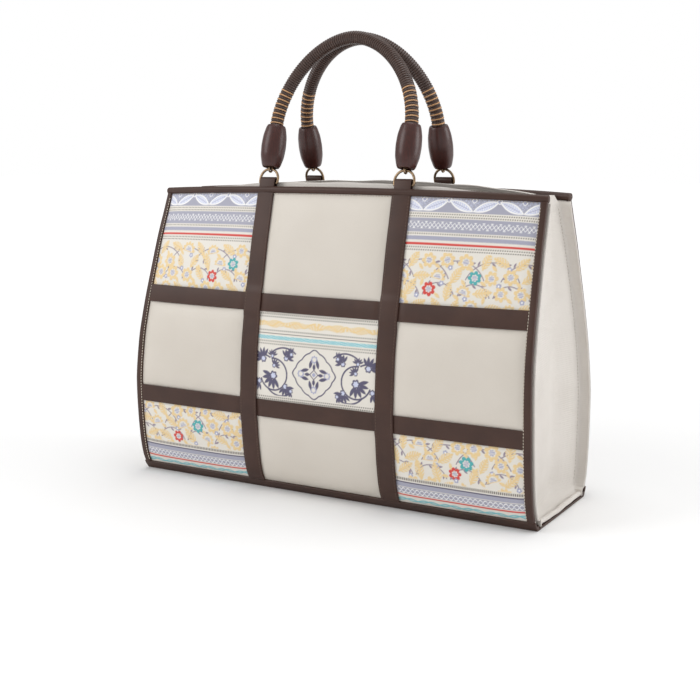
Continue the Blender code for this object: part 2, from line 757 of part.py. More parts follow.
def build_bead(label, plane, place, way):
    """Bead: a turned wooden barrel, bored for the handle's tail and socketed for its wrapped end."""
    middle = way * STRAP_X
    bore = (HANDLE_TAIL_R + GAP) * ROUNDING
    socket = (HANDLE_R + GAP) * ROUNDING
    recess = EYE_LOOP_R + EYE_WIRE_R + 4 * GAP
    outline = []
    for share, radius in zip(BEAD_OUTLINE["length"], BEAD_OUTLINE["radius"]):
        outline.append((BEAD_FOOT_U + share * BEAD_LENGTH, radius * BEAD_R))
    outline.append((BEAD_HEAD_U, socket))
    outline.append((SOCKET_U, socket))
    outline.append((SOCKET_U, bore))
    outline.append((BEAD_FOOT_U + BEAD_FOOT_RECESS, bore))
    outline.append((BEAD_FOOT_U + BEAD_FOOT_RECESS, recess))
    outline.append((BEAD_FOOT_U, recess))
    rings = []
    for k in range(BEAD_SIDES):
        turn = 2 * math.pi * k / BEAD_SIDES
        ring = [plane.at(middle + r * math.cos(turn), u, r * math.sin(turn)) for u, r in outline]
        rings.append(ring)
    loft(f"{label}_bead_{place}", "dark_wood", rings, closed=True)


def arch_point(turn, foot_u):
    """Point of the handle's arch, part of a rounded superellipse from one leg to the other."""
    c, s = math.cos(turn), math.sin(turn)
    power = 2 / HANDLE_ARCH_POWER
    x = STRAP_X * math.copysign(abs(c) ** power, c)
    return x, foot_u + (HANDLE_RISE - foot_u) * abs(s) ** power


def build_handle(label, plane):
    """Handle: a cord-wrapped arch whose thinner tails run down through the beads."""
    foot_u = BEAD_HEAD_U + GAP
    tail_u = RING_TOP_U + EYE_LOOP_R + EYE_STEM_LENGTH + GAP
    shoulder = SOCKET_U + GAP
    leg = [
        (STRAP_X, tail_u, HANDLE_TAIL_R),
        (STRAP_X, shoulder - GAP, HANDLE_TAIL_R),
        (STRAP_X, shoulder, HANDLE_R),
    ]
    arch = []
    steps = 20
    for k in range(steps + 1):
        x, u = arch_point(math.pi * k / steps, foot_u)
        arch.append((x, u, HANDLE_R))
    other = [(-x, u, radius) for x, u, radius in reversed(leg)]
    points = leg + arch + other
    path = [(x, u) for x, u, radius in points]
    radii = [radius for x, u, radius in points]
    loft(f"{label}_handle", "handle_cord", tube_rings(plane, path, radii, HANDLE_SIDES))


def clear_scene():
    """Empties the file of objects."""
    for old in list(bpy.data.objects):
        bpy.data.objects.remove(old)


def main():
    """Builds the whole bag."""
    clear_scene()
    build_base()
    for label, way in (("left", -1), ("right", 1)):
        build_gusset(label, way)
    for label, side in SIDES.items():
        build_lining(label, side)
        build_cells(label, side)
        build_strips(label, side)
        build_straps(label, side)
        build_side_bindings(label, side)
        build_bottom_binding(label, side)
        build_rim_binding(label, side)
        build_placket(label, side)
        plane = HandlePlane(side)
        for place, way in (("left", -1), ("right", 1)):
            build_tab(label, side, place, way)
            build_ring(label, plane, place, way)
            build_eye(label, plane, place, way)
            build_bead(label, plane, place, way)
        build_handle(label, plane)


main()
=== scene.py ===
"""The looks of a patchwork tote bag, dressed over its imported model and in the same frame.

The file follows the bag as it is sewn: studio, lining and plackets, gussets, cells, strips and straps,
bindings, tabs and rings, beads and handles. Sizes of the bag are in millimetres until a mesh is made.
The bag stands on Z = 0, its decorated front faces -Y and its width runs along X.
"""

import math

import bmesh
import bpy
import numpy as np
from mathutils import Matrix


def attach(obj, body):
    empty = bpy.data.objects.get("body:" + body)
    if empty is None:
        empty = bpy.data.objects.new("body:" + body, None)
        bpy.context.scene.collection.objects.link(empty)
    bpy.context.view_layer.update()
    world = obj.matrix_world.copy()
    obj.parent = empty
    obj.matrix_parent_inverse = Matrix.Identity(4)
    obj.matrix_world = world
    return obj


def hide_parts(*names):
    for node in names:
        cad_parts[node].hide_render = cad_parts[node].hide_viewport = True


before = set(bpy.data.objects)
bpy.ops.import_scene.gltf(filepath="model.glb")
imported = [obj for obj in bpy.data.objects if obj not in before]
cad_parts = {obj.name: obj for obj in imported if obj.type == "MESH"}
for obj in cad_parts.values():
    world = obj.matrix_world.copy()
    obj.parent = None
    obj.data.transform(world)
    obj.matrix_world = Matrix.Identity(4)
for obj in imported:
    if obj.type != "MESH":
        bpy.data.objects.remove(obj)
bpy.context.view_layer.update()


# The camera stands to the bag's right, a little above the rim, about a metre away. Its place was worked out
# from where known points of the bag fall in the picture.
camera_data = bpy.data.cameras.new("photo_camera")
camera_data.sensor_width = 36.0
camera_data.lens = 61.4
camera_data.shift_y = -0.120
camera = bpy.data.objects.new("photo_camera", camera_data)
bpy.context.scene.collection.objects.link(camera)
bpy.context.scene.camera = camera
camera.matrix_world = Matrix(
    (
        (0.86819, -0.04857, 0.49385, 0.5118),
        (0.49624, 0.08498, -0.86402, -0.9072),
        (0.0, 0.99520, 0.09788, 0.29515),
        (0.0, 0.0, 0.0, 1.0),
    )
)


# The studio: a matt white floor whose far part glows like lit paper, pale light all round and three large
# soft boxes. The main light comes from the upper left, one from the right rear lights the gusset's front half.
def linear(code):
    """Linear RGBA of an sRGB hex colour: c / 12.92 below 0.04045, else ((c + 0.055) / 1.055) to the 2.4."""
    parts = np.array([int(code[i : i + 2], 16) for i in (1, 3, 5)]) / 255
    low, high = parts / 12.92, ((parts + 0.055) / 1.055) ** 2.4
    return (*np.where(parts <= 0.04045, low, high), 1.0)


def new_finish(name, roughness):
    """A material and its Principled shader, with one roughness."""
    made = bpy.data.materials.new(name)
    made.use_nodes = True
    shader = made.node_tree.nodes["Principled BSDF"]
    shader.inputs["Roughness"].default_value = roughness
    return made, shader


def add_node(finish, kind, inputs=None, **settings):
    """Adds a shader node with its settings. An input is given a value or linked to another node's socket."""
    made = finish.node_tree.nodes.new("ShaderNode" + kind)
    for name, value in settings.items():
        setattr(made, name, value)
    for name, value in (inputs or {}).items():
        if isinstance(value, bpy.types.NodeSocket):
            finish.node_tree.links.new(value, made.inputs[name])
        else:
            made.inputs[name].default_value = value
    return made


floor_paint, floor_shader = new_finish("matt_white_paint", 0.85)
floor_shader.inputs["Base Color"].default_value = linear("#F4F4F4")
floor_shader.inputs["Emission Color"].default_value = linear("#FFFFFF")
floor_place = add_node(floor_paint, "TexCoord")
floor_reach = add_node(floor_paint, "VectorMath", {0: floor_place.outputs["Object"]}, operation="LENGTH")
floor_glow = add_node(
    floor_paint, "MapRange", {0: floor_reach.outputs["Value"], 1: 0.5, 2: 2.2, 3: 0.0, 4: 0.5}, clamp=True
)
floor_paint.node_tree.links.new(floor_glow.outputs[0], floor_shader.inputs["Emission Strength"])
floor_mesh = bpy.data.meshes.new("studio_floor")
floor_mesh.from_pydata([(-9, -9, 0), (9, -9, 0), (9, 9, 0), (-9, 9, 0)], [], [(0, 1, 2, 3)])
floor_mesh.materials.append(floor_paint)
floor = bpy.data.objects.new("studio_floor", floor_mesh)
bpy.context.scene.collection.objects.link(floor)

# The white paper behind the bag is brighter than the light that the room gives, so the air has two strengths.
world = bpy.data.worlds.new("studio_air")
world.use_nodes = True
room = world.node_tree.nodes["Background"]
room.inputs["Strength"].default_value = 0.6
paper = add_node(world, "Background", {"Strength": 1.0})
seen = add_node(world, "LightPath")
air = add_node(world, "MixShader", {0: seen.outputs["Is Camera Ray"], 1: room.outputs[0], 2: paper.outputs[0]})
world.node_tree.links.new(air.outputs[0], world.node_tree.nodes["World Output"].inputs["Surface"])
for tone in (room, paper):
    tone.inputs["Color"].default_value = linear("#FFFFFF")
bpy.context.scene.world = world
bpy.context.scene.view_settings.view_transform = "Standard"


def add_softbox(name, place, size, power):
    """A square area light at a place in metres that looks at the middle of the bag."""
    data = bpy.data.lights.new(name, "AREA")
    data.shape = "SQUARE"
    data.size = size
    data.energy = power
    lamp = bpy.data.objects.new(name, data)
    lamp.location = place
    aim = Matrix.Translation((0.0, 0.0, 0.18)).to_translation() - lamp.location
    lamp.rotation_euler = aim.to_track_quat("-Z", "Y").to_euler()
    bpy.context.scene.collection.objects.link(lamp)


add_softbox("softbox_left", (-1.3, -1.3, 1.3), 1.2, 16.0)
add_softbox("softbox_right", (1.9, 0.7, 0.8), 1.1, 15.0)
add_softbox("softbox_top", (0.1, 0.2, 1.8), 1.2, 12.0)


# The lining: a light canvas sheet inside each wall. The wall's own shape, which every sewn layer follows, is
# settled here: full at the belly, drawn in at the mouth, bowed along its width and narrower at the rim.
MM = 0.001
HALF_WIDTH = 190.0
RIM_HEIGHT = 262.0
BELLY_HEIGHT = 87.0
LOWER_PROFILE = ((0.0, 0.07, 0.2, 0.38, 0.61, 0.87, 1.0), (0.0, 0.31, 0.61, 0.79, 0.915, 0.99, 1.0))
UPPER_PROFILE = ((0.0, 0.19, 0.37, 0.55, 0.74, 0.87, 1.0), (1.0, 0.945, 0.8, 0.6, 0.37, 0.18, 0.0))
SIDES = {"front": -1, "back": 1}
ENDS = {"left": -1, "right": 1}


def eased(table, at):
    """Smooth curve through a table, in cubic pieces whose slopes are the harmonic mean of their neighbours."""
    x, y = np.asarray(table)
    steps = np.diff(y) / np.diff(x)
    same_way = steps[:-1] * steps[1:] > 0
    slope = np.zeros(len(x))
    total = np.where(same_way, steps[:-1] + steps[1:], 1.0)
    slope[1:-1] = np.where(same_way, 2 * steps[:-1] * steps[1:] / total, 0.0)
    slope[0] = steps[0] if y[0] == 0 else 0.0
    slope[-1] = steps[-1] if y[-1] == 0 else 0.0
    at = np.clip(at, 0.0, 1.0)
    i = np.clip(np.searchsorted(x, at, side="right") - 1, 0, len(x) - 2)
    width = x[i + 1] - x[i]
    t = (at - x[i]) / width
    rise = y[i] * (1 + 2 * t) * (1 - t) ** 2 + y[i + 1] * t * t * (3 - 2 * t)
    return rise + width * (slope[i] * t * (1 - t) ** 2 - slope[i + 1] * t * t * (1 - t))


def bowed(middle, ends, x):
    """A size that falls from the middle to the ends as the 2.2 power of the share of the half width."""
    return ends + (middle - ends) * (1 - np.abs(x / HALF_WIDTH) ** 2.2)


def rim_height(x):
    """Height of the rim, 4 mm lower at the corners."""
    return bowed(RIM_HEIGHT, RIM_HEIGHT - 4.0, x)


def half_depth(x, z):
    """Distance of the wall from the middle plane: base to belly below BELLY_HEIGHT, belly to mouth above."""
    belly, mouth = bowed(70.0, 67.75, x), bowed(41.5, 22.0, x)
    lower = 49.5 + (belly - 49.5) * eased(LOWER_PROFILE, z / BELLY_HEIGHT)
    full = eased(UPPER_PROFILE, (z - BELLY_HEIGHT) / (RIM_HEIGHT - BELLY_HEIGHT))
    return np.where(z <= BELLY_HEIGHT, lower, mouth + (belly - mouth) * full)


def end_narrowing(z):
    """How much nearer to the middle an end is at height z than at the belly, up to 6 mm at the rim."""
    return 6.0 * np.clip((z - BELLY_HEIGHT) / (RIM_HEIGHT - BELLY_HEIGHT), 0.0, 1.0)


def wall_frame(side, x, z):
    """Points of the wall and its outward unit normals, from the slopes of half_depth along x and z."""
    x, z = np.broadcast_arrays(np.asarray(x, float), np.asarray(z, float))
    along_x = half_depth(x + 0.5, z) - half_depth(x - 0.5, z)
    inner_z = np.clip(z, 0.5, RIM_HEIGHT - 0.5)
    along_z = half_depth(x, inner_z + 0.5) - half_depth(x, inner_z - 0.5)
    normal = np.stack([-along_x, np.full(x.shape, float(side)), -along_z], -1)
    normal /= np.linalg.norm(normal, axis=-1, keepdims=True)
    pull = np.sign(x) * end_narrowing(z) * np.abs(x / HALF_WIDTH) ** 5
    return np.stack([x - pull, side * half_depth(x, z), z], -1), normal


def on_wall(side, x, z, offset):
    """Points a distance outside the wall, along its normal."""
    point, normal = wall_frame(side, x, z)
    return point + np.asarray(offset, float)[..., None] * normal


def on_rim(side, x, rise, offset):
    """Points near the rim: up to it they follow the wall, above it they go on in the wall's direction."""
    x, rise = np.broadcast_arrays(np.asarray(x, float), np.asarray(rise, float))
    top = rim_height(x)
    normal = wall_frame(side, x, top)[1]
    up = np.stack([np.zeros(x.shape), -normal[..., 2] * side, np.abs(normal[..., 1])], -1)
    up /= np.linalg.norm(up, axis=-1, keepdims=True)
    return on_wall(side, x, top + np.minimum(rise, 0.0), offset) + np.maximum(rise, 0.0)[..., None] * up


def grid_faces(rows, columns, around=False, closed=False):
    """Quads between neighbours of a grid numbered row by row, which may wrap along either direction."""
    i = np.arange(rows if closed else rows - 1)[:, None]
    j = np.arange(columns if around else columns - 1)[None, :]
    next_i, next_j = (i + 1) % rows, (j + 1) % columns
    corners = [i * columns + j, i * columns + next_j, next_i * columns + next_j, next_i * columns + j]
    return np.stack(corners, -1).reshape(-1, 4)


def between(outer, inner):
    """A closed sheet from two grids of points: both faces, and quads round their common edge."""
    rows, columns = outer.shape[:2]
    index = np.arange(rows * columns).reshape(rows, columns)
    edge = np.concatenate([index[0], index[1:, -1], index[-1, -2::-1], index[-2:0:-1, 0]])
    after, back = np.roll(edge, -1), rows * columns
    sides = np.stack([after, edge, edge + back, after + back], -1)
    faces = grid_faces(rows, columns)
    points = np.concatenate([outer.reshape(-1, 3), inner.reshape(-1, 3)])
    return points, [faces, faces[:, ::-1] + back, sides]


def lofted(sections, closed=False):
    """A solid through rings of points (n, m, 3), each end closed by a fan about its centre."""
    n, m = sections.shape[:2]
    points, faces = sections.reshape(-1, 3), [grid_faces(n, m, around=True, closed=closed)]
    if closed:
        return points, faces
    here = np.arange(m)
    after = (here + 1) % m
    faces.append(np.stack([after, here, np.full(m, n * m)], -1))
    faces.append(np.stack([here + n * m - m, after + n * m - m, np.full(m, n * m + 1)], -1))
    return np.concatenate([points, sections[[0, -1]].mean(1)]), faces


def joined(solids):
    """Several solids as one: their points in a row, their faces renumbered."""
    points, faces, count = [], [], 0
    for own_points, own_faces in solids:
        points.append(own_points)
        faces += [f + count for f in own_faces]
        count += len(own_points)
    return np.concatenate(points), faces


def make_piece(name, solid, finish, body, nodes=(), colour=None, uv=None, crease=40):
    """A smooth mesh object from a solid in millimetres. It rides on a body and may replace CAD nodes."""
    points, faces = solid
    corners = np.concatenate([f.ravel() for f in faces]).astype(np.int32)
    sizes = np.concatenate([np.full(len(f), f.shape[1]) for f in faces])
    mesh = bpy.data.meshes.new(name)
    mesh.vertices.add(len(points))
    mesh.vertices.foreach_set("co", (points * MM).astype(np.float32).ravel())
    mesh.loops.add(len(corners))
    mesh.loops.foreach_set("vertex_index", corners)
    mesh.polygons.add(len(sizes))
    mesh.polygons.foreach_set("loop_start", np.concatenate([[0], np.cumsum(sizes)[:-1]]).astype(np.int32))
    mesh.update(calc_edges=True)
    if uv is not None:
        layer = mesh.uv_layers.new(name="cloth")
        layer.data.foreach_set("uv", uv[corners].astype(np.float32).ravel())
    if colour is not None:
        layer = mesh.color_attributes.new("cloth_colour", "FLOAT_COLOR", "POINT")
        filled = np.ones((len(points), 4), np.float32)
        filled[: len(colour), :3] = colour
        layer.data.foreach_set("color", filled.ravel())
    shape = bmesh.new()
    shape.from_mesh(mesh)
    bmesh.ops.recalc_face_normals(shape, faces=shape.faces[:])
    shape.to_mesh(mesh)
    shape.free()
    mesh.shade_smooth()
    mesh.set_sharp_from_angle(angle=math.radians(crease))
    mesh.materials.append(finish)
    piece = bpy.data.objects.new(name, mesh)
    bpy.context.scene.collection.objects.link(piece)
    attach(piece, body)
    if nodes:
        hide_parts(*nodes)
    return piece


# Cotton canvas, plain woven: matt and a little uneven, with threads about 0.5 mm apart, drawn at 0.9 mm so
# that the weave shows. The same cloth is used for lining, plackets and gussets.
canvas, canvas_shader = new_finish("cotton_canvas", 0.85)
canvas_place = add_node(canvas, "TexCoord")
cloud = add_node(canvas, "TexNoise", {"Vector": canvas_place.outputs["Object"], "Scale": 28.0, "Detail": 3.0})
canvas_tint = add_node(
    canvas,
    "Mix",
    {0: cloud.outputs["Fac"], 6: linear("#CBC5BE"), 7: linear("#DAD5CF")},
    data_type="RGBA",
)
warp = add_node(
    canvas,
    "TexWave",
    {"Vector": canvas_place.outputs["Object"], "Scale": 170.0, "Distortion": 1.2, "Detail": 1.0},
    bands_direction="Y",
)
weft = add_node(
    canvas,
    "TexWave",
    {"Vector": canvas_place.outputs["Object"], "Scale": 170.0, "Distortion": 1.2, "Detail": 1.0},
    bands_direction="Z",
)
crossing = add_node(canvas, "Math", {0: warp.outputs["Fac"], 1: weft.outputs["Fac"]}, operation="ADD")
canvas_bump = add_node(
    canvas, "Bump", {"Height": crossing.outputs["Value"], "Strength": 0.35, "Distance": 0.0002}
)
canvas.node_tree.links.new(canvas_tint.outputs[2], canvas_shader.inputs["Base Color"])
canvas.node_tree.links.new(canvas_bump.outputs["Normal"], canvas_shader.inputs["Normal"])

for label, side in SIDES.items():
    lining_x = np.linspace(-HALF_WIDTH, HALF_WIDTH, 77)[None, :]
    lining_top = rim_height(lining_x) - 1.4
    lining_z = 4.2 + (lining_top - 4.2) * np.linspace(0, 1, 61)[:, None]
    lining = between(on_wall(side, lining_x, lining_z, 0.0), on_wall(side, lining_x, lining_z, -1.2))
    make_piece(f"{label}_canvas_lining", lining, canvas, "bag", [f"{label}_lining"])


# The plackets: canvas strips sewn inside the walls below the tabs. They stand a little proud of the rim in
# the middle of the mouth and sink towards its corners, with a folded edge and a line of stitches below it.
def equal_steps(path, pitch):
    """Points at equal distances along a path, read from its length so far, with the same for their frame."""
    length = np.concatenate([[0], np.cumsum(np.linalg.norm(np.diff(path, axis=0), axis=1))])
    at = np.arange(pitch / 2, length[-1], pitch)
    return np.stack([np.interp(at, length, path[:, k]) for k in range(3)], -1)


def stitches(path, normal, pitch, length, radius):
    """Thread dashes along a path: four small six-sided rings each, thin at both ends and high in the middle."""
    place = equal_steps(path, pitch)
    lift = equal_steps(path + normal, pitch)[: len(place)] if len(normal) == len(path) else place + normal
    lift = lift[: len(place)]
    place = place[: len(lift)]
    up = lift - place
    up /= np.linalg.norm(up, axis=1, keepdims=True)
    along = np.gradient(place, axis=0)
    along /= np.linalg.norm(along, axis=1, keepdims=True)
    across = np.cross(along, up)
    slide = np.array([-0.5, -0.3, 0.3, 0.5]) * length
    girth = np.array([0.45, 1.0, 1.0, 0.45]) * radius
    turn = np.linspace(0, 2 * np.pi, 6, endpoint=False)
    ring = np.cos(turn)[:, None] * across[:, None, None, :] + np.sin(turn)[:, None] * up[:, None, None, :]
    rings = place[:, None, None, :] + slide[:, None, None] * along[:, None, None, :]
    rings = rings + girth[:, None, None] * (ring + 0.25 * up[:, None, None, :])
    template = np.concatenate([grid_faces(4, 6, around=True), [[0, 1, 2, 3], [0, 3, 4, 5]]])
    template = np.concatenate([template, [[21, 20, 19, 18], [23, 22, 21, 18]]])
    faces = template[None] + 24 * np.arange(len(place))[:, None, None]
    return rings.reshape(-1, 3), [faces.reshape(-1, 4)]


# Sewing threads: twisted polyester with a light wax, 0.6 mm thick. The twist shows as fine flecks, and as
# small ridges in the light.
threads = {}
for name, dark, light in (
    ("grey_polyester_thread", "#8F867B", "#B5AC9F"),
    ("cream_waxed_thread", "#C6B9A4", "#E6DDCE"),
    ("brown_waxed_thread", "#4C3A31", "#74604F"),
):
    threads[name], thread_shader = new_finish(name, 0.55)
    thread_place = add_node(threads[name], "TexCoord")
    twist = add_node(
        threads[name], "TexNoise", {"Vector": thread_place.outputs["Object"], "Scale": 1200.0, "Detail": 2.0}
    )
    thread_tint = add_node(
        threads[name], "Mix", {0: twist.outputs["Fac"], 6: linear(dark), 7: linear(light)}, data_type="RGBA"
    )
    thread_bump = add_node(
        threads[name], "Bump", {"Height": twist.outputs["Fac"], "Strength": 0.4, "Distance": 0.0001}
    )
    threads[name].node_tree.links.new(thread_tint.outputs[2], thread_shader.inputs["Base Color"])
    threads[name].node_tree.links.new(thread_bump.outputs["Normal"], thread_shader.inputs["Normal"])
grey_thread, cream_thread, brown_thread = threads.values()

for label, side in SIDES.items():
    placket_x = np.linspace(-178, 178, 150)[None, :]
    head = bowed(6.2, -3.2, placket_x) + 0.3 * np.sin(placket_x / 13.0) + 0.25 * np.sin(placket_x / 7.3 + 1)
    share = np.array([0, 0.25, 0.45, 0.55, 0.65, 0.78, 0.9, 0.96, 1.0])[:, None]
    rise = -30.3 + share * (head + 30.3)
    turn_in = 10.0 * np.clip((np.abs(placket_x) - 156.0) / 22.0, 0, 1) ** 1.5 * share**3
    lean = -1.9 - 1.1 * np.clip((rise + 17.5) / 1.2, 0, 1) - 2.6 * np.clip((rise + 6.8) / 13.0, 0, 1) - turn_in
    fold = 0.4 * np.clip((share - 0.9) / 0.06, 0, 1)
    outer = on_rim(side, placket_x, rise, lean + fold)
    inner = on_rim(side, placket_x, rise, lean - 1.0 - fold)
    placket = between(outer, inner)
    make_piece(f"{label}_canvas_placket", placket, canvas, "bag", [f"{label}_placket"])
    seam_x = np.linspace(-172, 172, 240)
    seam_rise = bowed(6.2, -3.2, seam_x) - 4.4
    seam_turn = 10.0 * np.clip((np.abs(seam_x) - 156.0) / 22.0, 0, 1) ** 1.5 * 0.62
    seam_lean = -3.0 - 2.6 * np.clip((seam_rise + 6.8) / 13.0, 0, 1) - seam_turn
    for face, lift in (("outer", 0.1), ("inner", -1.1)):
        seam = on_rim(side, seam_x, seam_rise, seam_lean + lift)
        seam_up = (on_rim(side, seam_x, seam_rise, seam_lean + 3 * lift) - seam) / abs(2 * lift)
        row = stitches(seam, seam_up, 2.6, 1.7, 0.28)
        make_piece(f"{label}_{face}_placket_stitches", row, grey_thread, "bag")


# The gussets: canvas ends, inset a few millimetres, with flanges that stand outwards behind the walls'
# edges and are piped. A fold runs down each one, nearer to the back, and its foot is sewn to the base in a
# roll. The hem at the top is folded over and stitched.
ROOT_X = 184.0
EDGE_OUT = 192.2


def gusset_flange(z):
    """Distance of a gusset's flange from the middle plane at height z, just inside the wall's lining."""
    slope = half_depth(HALF_WIDTH, z + 0.5) - half_depth(HALF_WIDTH, np.maximum(z - 0.5, 0.0))
    depth = half_depth(HALF_WIDTH + 0 * z, z) - 2.95 * np.hypot(1.0, slope)
    return np.where(z < 8.0, np.minimum(depth, 48.2), depth)


def gusset_path(z):
    """Middle line of the cloth across a gusset: a flange, two facets that meet in a fold, a flange."""
    z = z[:, None]
    flange_y = gusset_flange(z)
    flare = np.clip((10.5 - z) / 8.0, 0, 1) ** 1.4
    root = ROOT_X - 0.9 + flare * (EDGE_OUT - 1.6 - ROOT_X)
    across = np.linspace(-1, 1, 49)[None, :]
    up = np.clip(z / RIM_HEIGHT, 0, 1)
    peak = 0.34 + 0.10 * np.sin(np.pi * up)
    front, rear = (across + 1) / (1 + peak), (1 - across) / (1 - peak)
    sharp = 16 - 9 * up
    fold = -np.log(np.exp(-sharp * front) + np.exp(-sharp * rear)) / sharp
    edge_ease = np.clip(4 * np.minimum(front, rear), 0, 1)
    belly = 0.10 * np.sin(np.pi * np.clip(front, 0, 1)) + 0.06 * np.sin(9 * up + 2 * across)
    valley = 12.5 * (1 - 0.55 * up) * np.clip(z / 16.0, 0, 1)
    web_x = root - valley * (np.maximum(fold, 0) - belly * edge_ease)
    out = np.array([1.0, 0.75, 0.5, 0.25])[None, :]
    flange_x = root + out * (EDGE_OUT - root)
    x = np.concatenate([flange_x, web_x, flange_x[:, ::-1]], 1)
    y = np.concatenate([-flange_y + 0 * out, across * flange_y, flange_y + 0 * out], 1)
    path = np.stack([x - end_narrowing(z), y], -1)
    for _ in range(2):
        path[:, 1:-1] = (path[:, :-2] + 2 * path[:, 1:-1] + path[:, 2:]) / 4
    return path


def round_section(middle, radius, across, up, sides=10):
    """Rings of a round cord whose middles and two cross directions are given, each (n, 3)."""
    turn = np.linspace(0, 2 * np.pi, sides, endpoint=False)[None, :, None]
    return middle[:, None, :] + radius * (np.cos(turn) * across[:, None, :] + np.sin(turn) * up[:, None, :])


for label, way in ENDS.items():
    gusset_z = np.concatenate([np.linspace(2.6, 12, 12), np.linspace(16, 252.4, 80)])
    path = gusset_path(gusset_z)
    along = np.gradient(path, axis=1)
    along /= np.linalg.norm(along, axis=-1, keepdims=True)
    outward = np.stack([along[..., 1], -along[..., 0]], -1)
    share_up = np.clip((gusset_z[:, None] - 200) / 52.4, 0, 1)
    clear = np.clip((19.0 - np.abs(path[..., 1])) / 4.0, 0, 1)
    height = gusset_z[:, None] + 5.2 * share_up**2 * clear
    hem = 0.5 * np.clip((height - 249.0) / 0.8, 0, 1)
    faces_of_cloth = []
    for offset in (0.8, -0.8):
        flat = path + np.sign(offset) * (0.8 + hem)[..., None] * outward
        faces_of_cloth.append(np.stack([way * flat[..., 0], flat[..., 1], height], -1))
    parts = [between(*faces_of_cloth)]
    pipe_z = np.linspace(9.0, 251.5, 90)
    for side in (-1, 1):
        middle = np.stack([way * (EDGE_OUT - 0.9 - end_narrowing(pipe_z)), side * gusset_flange(pipe_z), pipe_z], -1)
        flat_x, flat_y = np.tile([1.0, 0, 0], (90, 1)), np.tile([0, 1.0, 0], (90, 1))
        parts.append(lofted(round_section(middle, 1.15, flat_x, flat_y)))
    roll_y = np.linspace(-47.5, 47.5, 60)
    sag = 0.25 * np.sin(roll_y / 9.0) + 0.2 * np.sin(roll_y / 4.1)
    middle = np.stack([way * (189.9 + 0.6 * np.cos(roll_y / 20.0)), roll_y, 4.6 + sag], -1)
    parts.append(lofted(round_section(middle, 2.1, np.tile([1.0, 0, 0], (60, 1)), np.tile([0, 0, 1.0], (60, 1)))))
    make_piece(f"{label}_canvas_gusset", joined(parts), canvas, "bag", [f"gusset_{label}"])
    rows = []
    seam_z = np.linspace(14.0, 248.0, 240)
    for side in (-1, 1):
        seam_y = side * (gusset_flange(seam_z) - 3.6)
        seam_path = gusset_path(seam_z)
        seam_x = np.array([np.interp(y, p[:, 1], p[:, 0]) for y, p in zip(seam_y, seam_path[:, 4:-4])])
        seam = np.stack([way * (seam_x + 0.75), seam_y, seam_z], -1)
        rows.append(stitches(seam, np.tile([float(way), 0, 0], (240, 1)), 3.0, 1.8, 0.26))
    hem_y = np.linspace(-15.0, 15.0, 60)
    hem_path = gusset_path(np.array([248.0]))[0, 4:-4]
    hem_x = np.interp(hem_y, hem_path[:, 1], hem_path[:, 0]) + 0.8
    seam = np.stack([way * hem_x, hem_y, 252.4 + 0 * hem_y], -1)
    rows.append(stitches(seam, np.tile([float(way), 0, 0], (60, 1)), 2.6, 1.7, 0.26))
    make_piece(f"{label}_gusset_stitches", joined(rows), grey_thread, "bag")


# The cells: nine padded pieces a side. Plain ones are greige cowhide with a fine grain over thin wadding,
# pulled down along the seams, with small puckers where the leather is drawn in.
cowhide, cowhide_shader = new_finish("greige_cowhide", 0.52)
cowhide_place = add_node(cowhide, "TexCoord")
cowhide_cloud = add_node(
    cowhide, "TexNoise", {"Vector": cowhide_place.outputs["Object"], "Scale": 22.0, "Detail": 4.0}
)
cowhide_tint = add_node(
    cowhide,
    "Mix",
    {0: cowhide_cloud.outputs["Fac"], 6: linear("#CBC3B8"), 7: linear("#D6CFC5")},
    data_type="RGBA",
)
pebble = add_node(
    cowhide,
    "TexVoronoi",
    {"Vector": cowhide_place.outputs["Object"], "Scale": 900.0, "Randomness": 1.0},
    feature="SMOOTH_F1",
)
cowhide_bump = add_node(
    cowhide, "Bump", {"Height": pebble.outputs["Distance"], "Strength": 0.3, "Distance": 0.0002}
)
cowhide.node_tree.links.new(cowhide_tint.outputs[2], cowhide_shader.inputs["Base Color"])
cowhide.node_tree.links.new(cowhide_bump.outputs["Normal"], cowhide_shader.inputs["Normal"])

# Each column's outer edges, and the inner ones between which it is padded.
CELL_COLUMNS = {
    "left": (-190.0, -183.3, -74.9, -66.15),
    "middle": (-65.85, -57.1, 57.1, 65.85),
    "right": (66.15, 74.9, 183.3, 190.0),
}


def row_edges(row, x):
    """Heights of a row's outer and padded edges; those of the top row follow the rim."""
    if row == "bottom":
        return [0 * x + z for z in (4.2, 9.4, 66.6, 74.35)]
    if row == "middle":
        return [0 * x + z for z in (74.65, 82.4, 156.1, 163.85)]
    rim = rim_height(x)
    return [0 * x + 164.15, 0 * x + 171.9, rim - 5.0, rim - 1.4]


def padded_cell(side, row, column, crown, step, pucker):
    """A pad on the wall: its height is crown times (1 - a^6)(1 - b^6), a and b running -1 to 1 across it."""
    left, low_x, high_x, right = CELL_COLUMNS[column]
    count = int((right - left) / step)
    x = np.linspace(left, right, count)[None, :]
    bottom, low, high, top = row_edges(row, x)
    share = np.linspace(0, 1, int((top - bottom).max() / step))[:, None]
    z = bottom + (top - bottom) * share
    a = np.clip(2 * (x - low_x) / (high_x - low_x) - 1, -1, 1)
    b = np.clip(2 * (z - low) / (high - low) - 1, -1, 1)
    pad = (1 - a**6) * (1 - b**6)
    ripple = np.sin(x / 2.1) * np.exp(-((1 - np.abs(b)) * 8)) + np.sin(z / 2.1) * np.exp(-((1 - np.abs(a)) * 10))
    swell = 0.25 * np.sin(x / 23 + z / 31) * pad
    height = 1.5 + crown * pad + pucker * ripple * np.minimum(1, 4 * pad) + swell
    return x + 0 * z, z + 0 * x, height, pad


